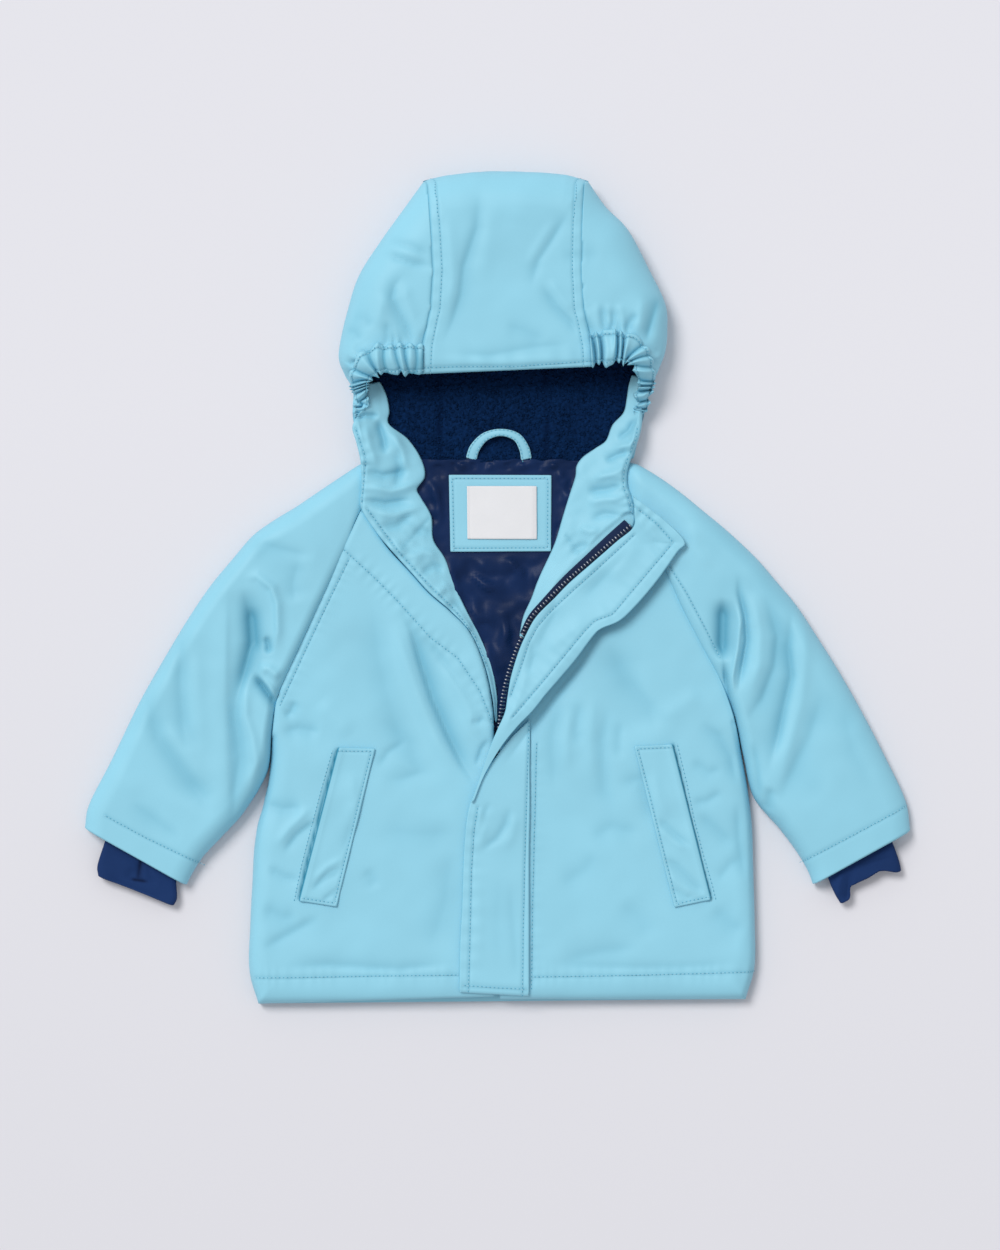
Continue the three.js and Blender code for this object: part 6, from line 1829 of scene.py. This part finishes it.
# Sewing
def stitch_paths():
    """Every run of stitches, as points in millimetres on its piece."""
    proud = 0.12
    paths = {
        "fronts": [
            ("front_left", "raglan_topstitch_left"),
            ("front_left", "band_stitch_left"),
            ("front_left", "hem_left"),
            ("front_right", "hem_right"),
            ("front_right", "front_seam_right"),
            ("front_left", "pocket_side_left"),
            ("front_right", "pocket_side_right"),
        ],
        "sleeves": [
            ("sleeve_right", "raglan_topstitch_right"),
            ("sleeve_left", "sleeve_hem_left"),
            ("sleeve_right", "sleeve_hem_right"),
        ],
        "neck": [
            ("facing_left", "neck_edge_stitch_left"),
            ("facing_left", "facing_zip_stitch_left"),
            ("facing_right", "neck_edge_stitch_right"),
        ],
        "flaps": [
            ("storm_flap", "flap_edge_stitch"),
            ("storm_flap", "flap_seam"),
            ("storm_flap", "flap_hem"),
            ("flap_facing", "facing_edge_stitch"),
            ("flap_facing", "facing_inner_stitch"),
        ],
        "brim": [("hood_centre", "brim_stitch")],
    }
    made = {
        group: [lay_on(SURFACES[surface], LINES[line], proud) for surface, line in runs]
        for group, runs in paths.items()
    }
    centre = SURFACES["hood_centre_all"]
    middle = len(centre) // 2
    for row_line in (centre[:middle], centre[middle:][::-1]):
        gone = np.cumsum(np.linalg.norm(np.diff(row_line, axis=0), axis=2), axis=0)
        row = [int(np.argmin(np.abs(gone[:, c] - 7.4))) + 1 for c in range(centre.shape[1])]
        path = np.array([row_line[r, c] for c, r in enumerate(row)])
        upper = np.arange(len(path)) < HOOD_TOP_STEPS
        path[:, 2] += np.where(upper, proud, -proud)
        made["brim"].append(path)
    for name in ("casing_left", "casing_right"):
        grid = SURFACES[name]
        for col in (3, grid.shape[1] - 4):
            path = grid[:, col].copy()
            path[:, 2] += proud
            made.setdefault("casings", []).append(path)
    for name, corners in (("pocket_left", POCKET_LEFT), ("pocket_right", POCKET_RIGHT)):
        loop = inset_loop(corners, 2.0)
        run = loop[:4] if name == "pocket_left" else loop[[2, 3, 0, 1]]
        made.setdefault("pockets", []).append(lay_on(SURFACES[name], run, proud))
    made["patch"] = [lay_on(SURFACES["patch"], inset_loop(PATCH, 2.4), proud)]
    loop = SURFACES["loop"]
    made["loop"] = [loop[:, 1] + [0, 0, proud], loop[:, -2] + [0, 0, proud]]
    return made


TREES = {}


class CoatSizes(bpy.types.PropertyGroup):
    """Sizes that a user may change."""

    stitch_pitch: bpy.props.FloatProperty(
        name="Stitch pitch", description="Length of one stitch with its gap", default=0.0031, unit="LENGTH"
    )
    stitch_length: bpy.props.FloatProperty(
        name="Stitch length", description="Thread that shows between two holes", default=0.0024, unit="LENGTH"
    )
    stitch_width: bpy.props.FloatProperty(
        name="Stitch width", description="Thickness of the thread", default=0.0005, unit="LENGTH"
    )
    tooth_pitch: bpy.props.FloatProperty(
        name="Tooth pitch", description="Distance from one zip tooth to the next", default=0.0029, unit="LENGTH"
    )
    curl_size: bpy.props.FloatProperty(
        name="Curl size", description="Size of one curl of the fleece", default=0.0026, unit="LENGTH"
    )
    curl_density: bpy.props.FloatProperty(
        name="Curl density", description="Curls to a square metre of fleece", default=60000.0
    )


def colour_property(label, text, code):
    return bpy.props.FloatVectorProperty(
        name=label, description=text, subtype="COLOR", size=3, min=0.0, max=1.0, default=linear(code)
    )


class CoatColours(bpy.types.PropertyGroup):
    """Colours of the cloths and the trims."""

    shell: colour_property("Shell", "Coated outer cloth", "92d1e6")
    lining: colour_property("Lining", "Satin lining", "122c58")
    fleece: colour_property("Fleece", "Fleece in the hood", "0c2b55")
    cuff: colour_property("Cuff", "Knitted inner cuffs", "1a3667")
    label: colour_property("Label", "Woven label", "e6e7ea")
    zip_tape: colour_property("Zip tape", "Tape under the teeth", "13294f")
    zip_metal: colour_property("Zip metal", "Teeth of the zip", "a9adb8")
    thread: colour_property("Thread", "Sewing thread of the outer cloth", "abdded")


class CoatStage(bpy.types.PropertyGroup):
    """Camera, light and floor."""

    floor: colour_property("Floor", "Plain floor", "e2e2e8")
    camera_height: bpy.props.FloatProperty(
        name="Camera height", description="Height of the camera above the floor", default=4.0, unit="LENGTH"
    )
    view_height: bpy.props.FloatProperty(
        name="View height", description="Length of floor that the picture takes in", default=0.975, unit="LENGTH"
    )
    key_power: bpy.props.FloatProperty(
        name="Key light", description="Strength of the main light", default=1.9
    )
    key_softness: bpy.props.FloatProperty(
        name="Key softness", description="Angle that the main light fills", default=0.42, unit="ROTATION"
    )
    sky: bpy.props.FloatProperty(name="Sky", description="Strength of the light all round", default=0.56)


class COAT_OT_back(bpy.types.Operator):
    """Back panel and the satin lining on it"""

    bl_idname = "coat.back"
    bl_label = "Back and lining"

    def execute(self, context):
        finish_piece(build_back(), ["back"], MATERIALS["shell"])
        finish_piece(build_back_lining(), ["back_lining"], MATERIALS["lining"])
        return {"FINISHED"}


class COAT_OT_fronts(bpy.types.Operator):
    """Left and right fronts"""

    bl_idname = "coat.fronts"
    bl_label = "Fronts"

    def execute(self, context):
        for name, rows, edge, lines in (
            ("front_left", LEFT_ROWS, EDGE_LEFT, ("raglan_topstitch_left", "band_stitch_left", "hem_left")),
            ("front_right", RIGHT_ROWS, EDGE_RIGHT, ("hem_right", "front_seam_right")),
        ):
            piece = build_front(name, rows, edge, lines)
            finish_piece(piece, [name], MATERIALS["shell"])
        return {"FINISHED"}


class COAT_OT_sleeves(bpy.types.Operator):
    """Sleeves and the knitted cuffs inside them"""

    bl_idname = "coat.sleeves"
    bl_label = "Sleeves and cuffs"

    def execute(self, context):
        for name, rows, lines in (
            ("sleeve_left", SLEEVE_LEFT, ("sleeve_hem_left",)),
            ("sleeve_right", SLEEVE_RIGHT, ("sleeve_hem_right", "raglan_topstitch_right")),
        ):
            piece = build_sleeve(name, rows, lines)
            finish_piece(piece, [name], MATERIALS["shell"])
        for name, rows, notch, lines, crease in (
            ("cuff_left", CUFF_LEFT, NO_NOTCH, ("thumb_bar", "thumb_slit"), CUFF_CREASE_LEFT),
            ("cuff_right", CUFF_RIGHT, CUFF_NOTCH, (), CUFF_CREASE_RIGHT),
        ):
            piece = build_cuff(name, rows, notch, lines, crease)
            finish_piece(piece, [name], MATERIALS["cuff"])
        return {"FINISHED"}


class COAT_OT_hood(bpy.types.Operator):
    """Three panels of the hood"""

    bl_idname = "coat.hood"
    bl_label = "Hood"

    def execute(self, context):
        centre = build_hood_centre()
        finish_piece(centre, ["hood_centre"], MATERIALS["shell"])
        for name, rows, side, casing, gathers in (
            ("hood_left", HOOD_LEFT, "left", CASING_LEFT, GATHERS_LEFT),
            ("hood_right", HOOD_RIGHT, "right", CASING_RIGHT, GATHERS_RIGHT),
        ):
            piece = build_hood_side(name, rows, side, casing, gathers)
            finish_piece(piece, [name], MATERIALS["shell"])
        return {"FINISHED"}


class COAT_OT_fleece(bpy.types.Operator):
    """Fleece lining of the hood with its pile"""

    bl_idname = "coat.fleece"
    bl_label = "Fleece"

    def execute(self, context):
        sizes = context.scene.coat_sizes
        piece = build_hood_lining()
        top = SURFACES["fleece"]
        flat = shell("fleece_face", top, top - [0, 0, 0.1])
        face = flat.data
        bpy.data.objects.remove(flat)
        pile = grow(
            "fleece_pile",
            TREES["pile"],
            face,
            {
                "Density": sizes.curl_density,
                "Curl": sizes.curl_size,
                "Seed": 7,
                "Material": MATERIALS["fleece"],
            },
        )
        finish_piece(pile, [], MATERIALS["fleece"])
        finish_piece(piece, ["hood_lining"], MATERIALS["fleece"])
        return {"FINISHED"}


class COAT_OT_casings(bpy.types.Operator):
    """Gathered casings at the corners of the hood's opening"""

    bl_idname = "coat.casings"
    bl_label = "Gathered casings"

    def execute(self, context):
        for name, rows, gathers, seed in (
            ("casing_left", CASING_LEFT, GATHERS_LEFT, 41),
            ("casing_right", CASING_RIGHT, GATHERS_RIGHT, 47),
        ):
            piece = build_casing(name, rows, gathers, seed)
            finish_piece(piece, [name], MATERIALS["shell"])
        return {"FINISHED"}


class COAT_OT_neck(bpy.types.Operator):
    """Soft rolls of facing round the neck opening"""

    bl_idname = "coat.neck"
    bl_label = "Neck facings"

    def execute(self, context):
        for name, rows, swell, zipped, lines in (
            ("facing_left", FACING_LEFT, 10, False, ("neck_edge_stitch_left", "facing_seam_left", "facing_zip_stitch_left")),
            ("facing_right", FACING_RIGHT, 9, True, ("neck_edge_stitch_right", "facing_seam_right")),
        ):
            piece = build_facing(name, rows, swell, zipped, lines)
            finish_piece(piece, [name], MATERIALS["shell"])
        return {"FINISHED"}


class COAT_OT_zip(bpy.types.Operator):
    """Zip tape and its teeth"""

    bl_idname = "coat.zip"
    bl_label = "Zip"

    def execute(self, context):
        sizes = context.scene.coat_sizes
        finish_piece(build_zip_tape(), ["zip_tape_right"], MATERIALS["tape"])
        finish_piece(build_zip_teeth(sizes), ["zip_chain"], MATERIALS["metal"])
        return {"FINISHED"}


class COAT_OT_flap(bpy.types.Operator):
    """Storm flap and its part that is turned open"""

    bl_idname = "coat.flap"
    bl_label = "Storm flap"

    def execute(self, context):
        finish_piece(build_flap(), ["storm_flap"], MATERIALS["shell"])
        finish_piece(build_flap_facing(), ["flap_facing"], MATERIALS["shell"])
        return {"FINISHED"}


class COAT_OT_pockets(bpy.types.Operator):
    """Slanted pocket welts"""

    bl_idname = "coat.pockets"
    bl_label = "Pockets"

    def execute(self, context):
        for name, corners, slit in (
            ("pocket_left", POCKET_LEFT, (POCKET_LEFT[0], POCKET_LEFT[3])),
            ("pocket_right", POCKET_RIGHT, (POCKET_RIGHT[1], POCKET_RIGHT[2])),
        ):
            piece = build_pocket(name, corners, inset_loop(corners, 2.0), slit)
            finish_piece(piece, [name], MATERIALS["shell"])
        return {"FINISHED"}


class COAT_OT_label(bpy.types.Operator):
    """Patch and plain woven label inside the neck, and the hanging loop"""

    bl_idname = "coat.label"
    bl_label = "Label and loop"

    def execute(self, context):
        finish_piece(build_patch(), ["label_patch"], MATERIALS["shell"])
        finish_piece(build_label(), ["neck_label"], MATERIALS["label"])
        finish_piece(build_loop(), ["hanging_loop"], MATERIALS["shell"])
        return {"FINISHED"}


class COAT_OT_sewing(bpy.types.Operator):
    """Every row of topstitching"""

    bl_idname = "coat.sewing"
    bl_label = "Sewing"

    def execute(self, context):
        sizes = context.scene.coat_sizes
        for group, paths in stitch_paths().items():
            piece = grow(
                "stitches_" + group,
                TREES["stitch"],
                path_mesh("stitch_path_" + group, paths),
                {
                    "Pitch": sizes.stitch_pitch,
                    "Length": sizes.stitch_length,
                    "Width": sizes.stitch_width,
                    "Material": MATERIALS["thread"],
                    "Hole material": MATERIALS["hole"],
                },
            )
            finish_piece(piece, [])
        return {"FINISHED"}


class COAT_OT_stage(bpy.types.Operator):
    """Floor, light and camera"""

    bl_idname = "coat.stage"
    bl_label = "Stage"

    def execute(self, context):
        stage = context.scene.coat_stage
        size = 4.0
        mesh = bpy.data.meshes.new("floor")
        corners = [(-size, -size, -0.0004), (size, -size, -0.0004), (size, size, -0.0004), (-size, size, -0.0004)]
        mesh.from_pydata(corners, [], [(0, 1, 2, 3)])
        floor = bpy.data.objects.new("floor", mesh)
        bpy.context.scene.collection.objects.link(floor)
        mesh.materials.append(floor_material(stage.floor))
        world = bpy.data.worlds.new("Soft_sky")
        world.use_nodes = True
        background = world.node_tree.nodes["Background"]
        background.inputs["Color"].default_value = (0.972, 0.975, 1.0, 1.0)
        background.inputs["Strength"].default_value = stage.sky
        context.scene.world = world
        context.scene.view_settings.view_transform = "Standard"
        light = bpy.data.lights.new("Key", "SUN")
        light.angle = stage.key_softness
        light.energy = stage.key_power
        light.color = (1.0, 0.99, 0.975)
        key = bpy.data.objects.new("Key", light)
        key.location = KEY_PLACE
        aim = Vector((0.0, 0.0, 0.0)) - Vector(KEY_PLACE)
        key.rotation_euler = aim.to_track_quat("-Z", "Y").to_euler()
        context.scene.collection.objects.link(key)
        camera_data = bpy.data.cameras.new("Camera")
        camera_data.sensor_width = 36.0
        camera_data.lens = 36.0 * stage.camera_height / stage.view_height
        camera_data.clip_end = 50.0
        camera = bpy.data.objects.new("Camera", camera_data)
        camera.location = (VIEW_CENTRE[0], VIEW_CENTRE[1], stage.camera_height)
        context.scene.collection.objects.link(camera)
        context.scene.camera = camera
        return {"FINISHED"}


KEY_PLACE = (-1.15, 1.3, 2.4)
VIEW_CENTRE = (0.00195, -0.0289)

OPERATORS = (
    COAT_OT_back, COAT_OT_fronts, COAT_OT_sleeves, COAT_OT_hood, COAT_OT_fleece, COAT_OT_casings,
    COAT_OT_neck, COAT_OT_zip, COAT_OT_flap, COAT_OT_pockets, COAT_OT_label, COAT_OT_sewing,
    COAT_OT_stage,
)


class COAT_PT_panel(bpy.types.Panel):
    """Sizes, colours and pieces of the raincoat"""

    bl_idname = "COAT_PT_panel"
    bl_label = "Raincoat"
    bl_space_type = "VIEW_3D"
    bl_region_type = "UI"
    bl_category = "Raincoat"

    def draw(self, context):
        for group in (context.scene.coat_sizes, context.scene.coat_colours, context.scene.coat_stage):
            box = self.layout.box()
            for key in group.bl_rna.properties.keys():
                if key not in ("rna_type", "name"):
                    box.prop(group, key)
        for operator in OPERATORS:
            self.layout.operator(operator.bl_idname)


CLASSES = (CoatSizes, CoatColours, CoatStage, *OPERATORS, COAT_PT_panel)


def register():
    for item in CLASSES:
        bpy.utils.register_class(item)
    bpy.types.Scene.coat_sizes = bpy.props.PointerProperty(type=CoatSizes)
    bpy.types.Scene.coat_colours = bpy.props.PointerProperty(type=CoatColours)
    bpy.types.Scene.coat_stage = bpy.props.PointerProperty(type=CoatStage)


def unregister():
    del bpy.types.Scene.coat_sizes
    del bpy.types.Scene.coat_colours
    del bpy.types.Scene.coat_stage
    for item in reversed(CLASSES):
        bpy.utils.unregister_class(item)


def main():
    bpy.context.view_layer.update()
    register()
    make_materials(bpy.context.scene.coat_colours)
    TREES.update(stitch=stitch_tree(), teeth=teeth_tree(), pile=pile_tree())
    for operator in OPERATORS:
        group, name = operator.bl_idname.split(".")
        getattr(getattr(bpy.ops, group), name)()


if __name__ == "__main__":
    main()
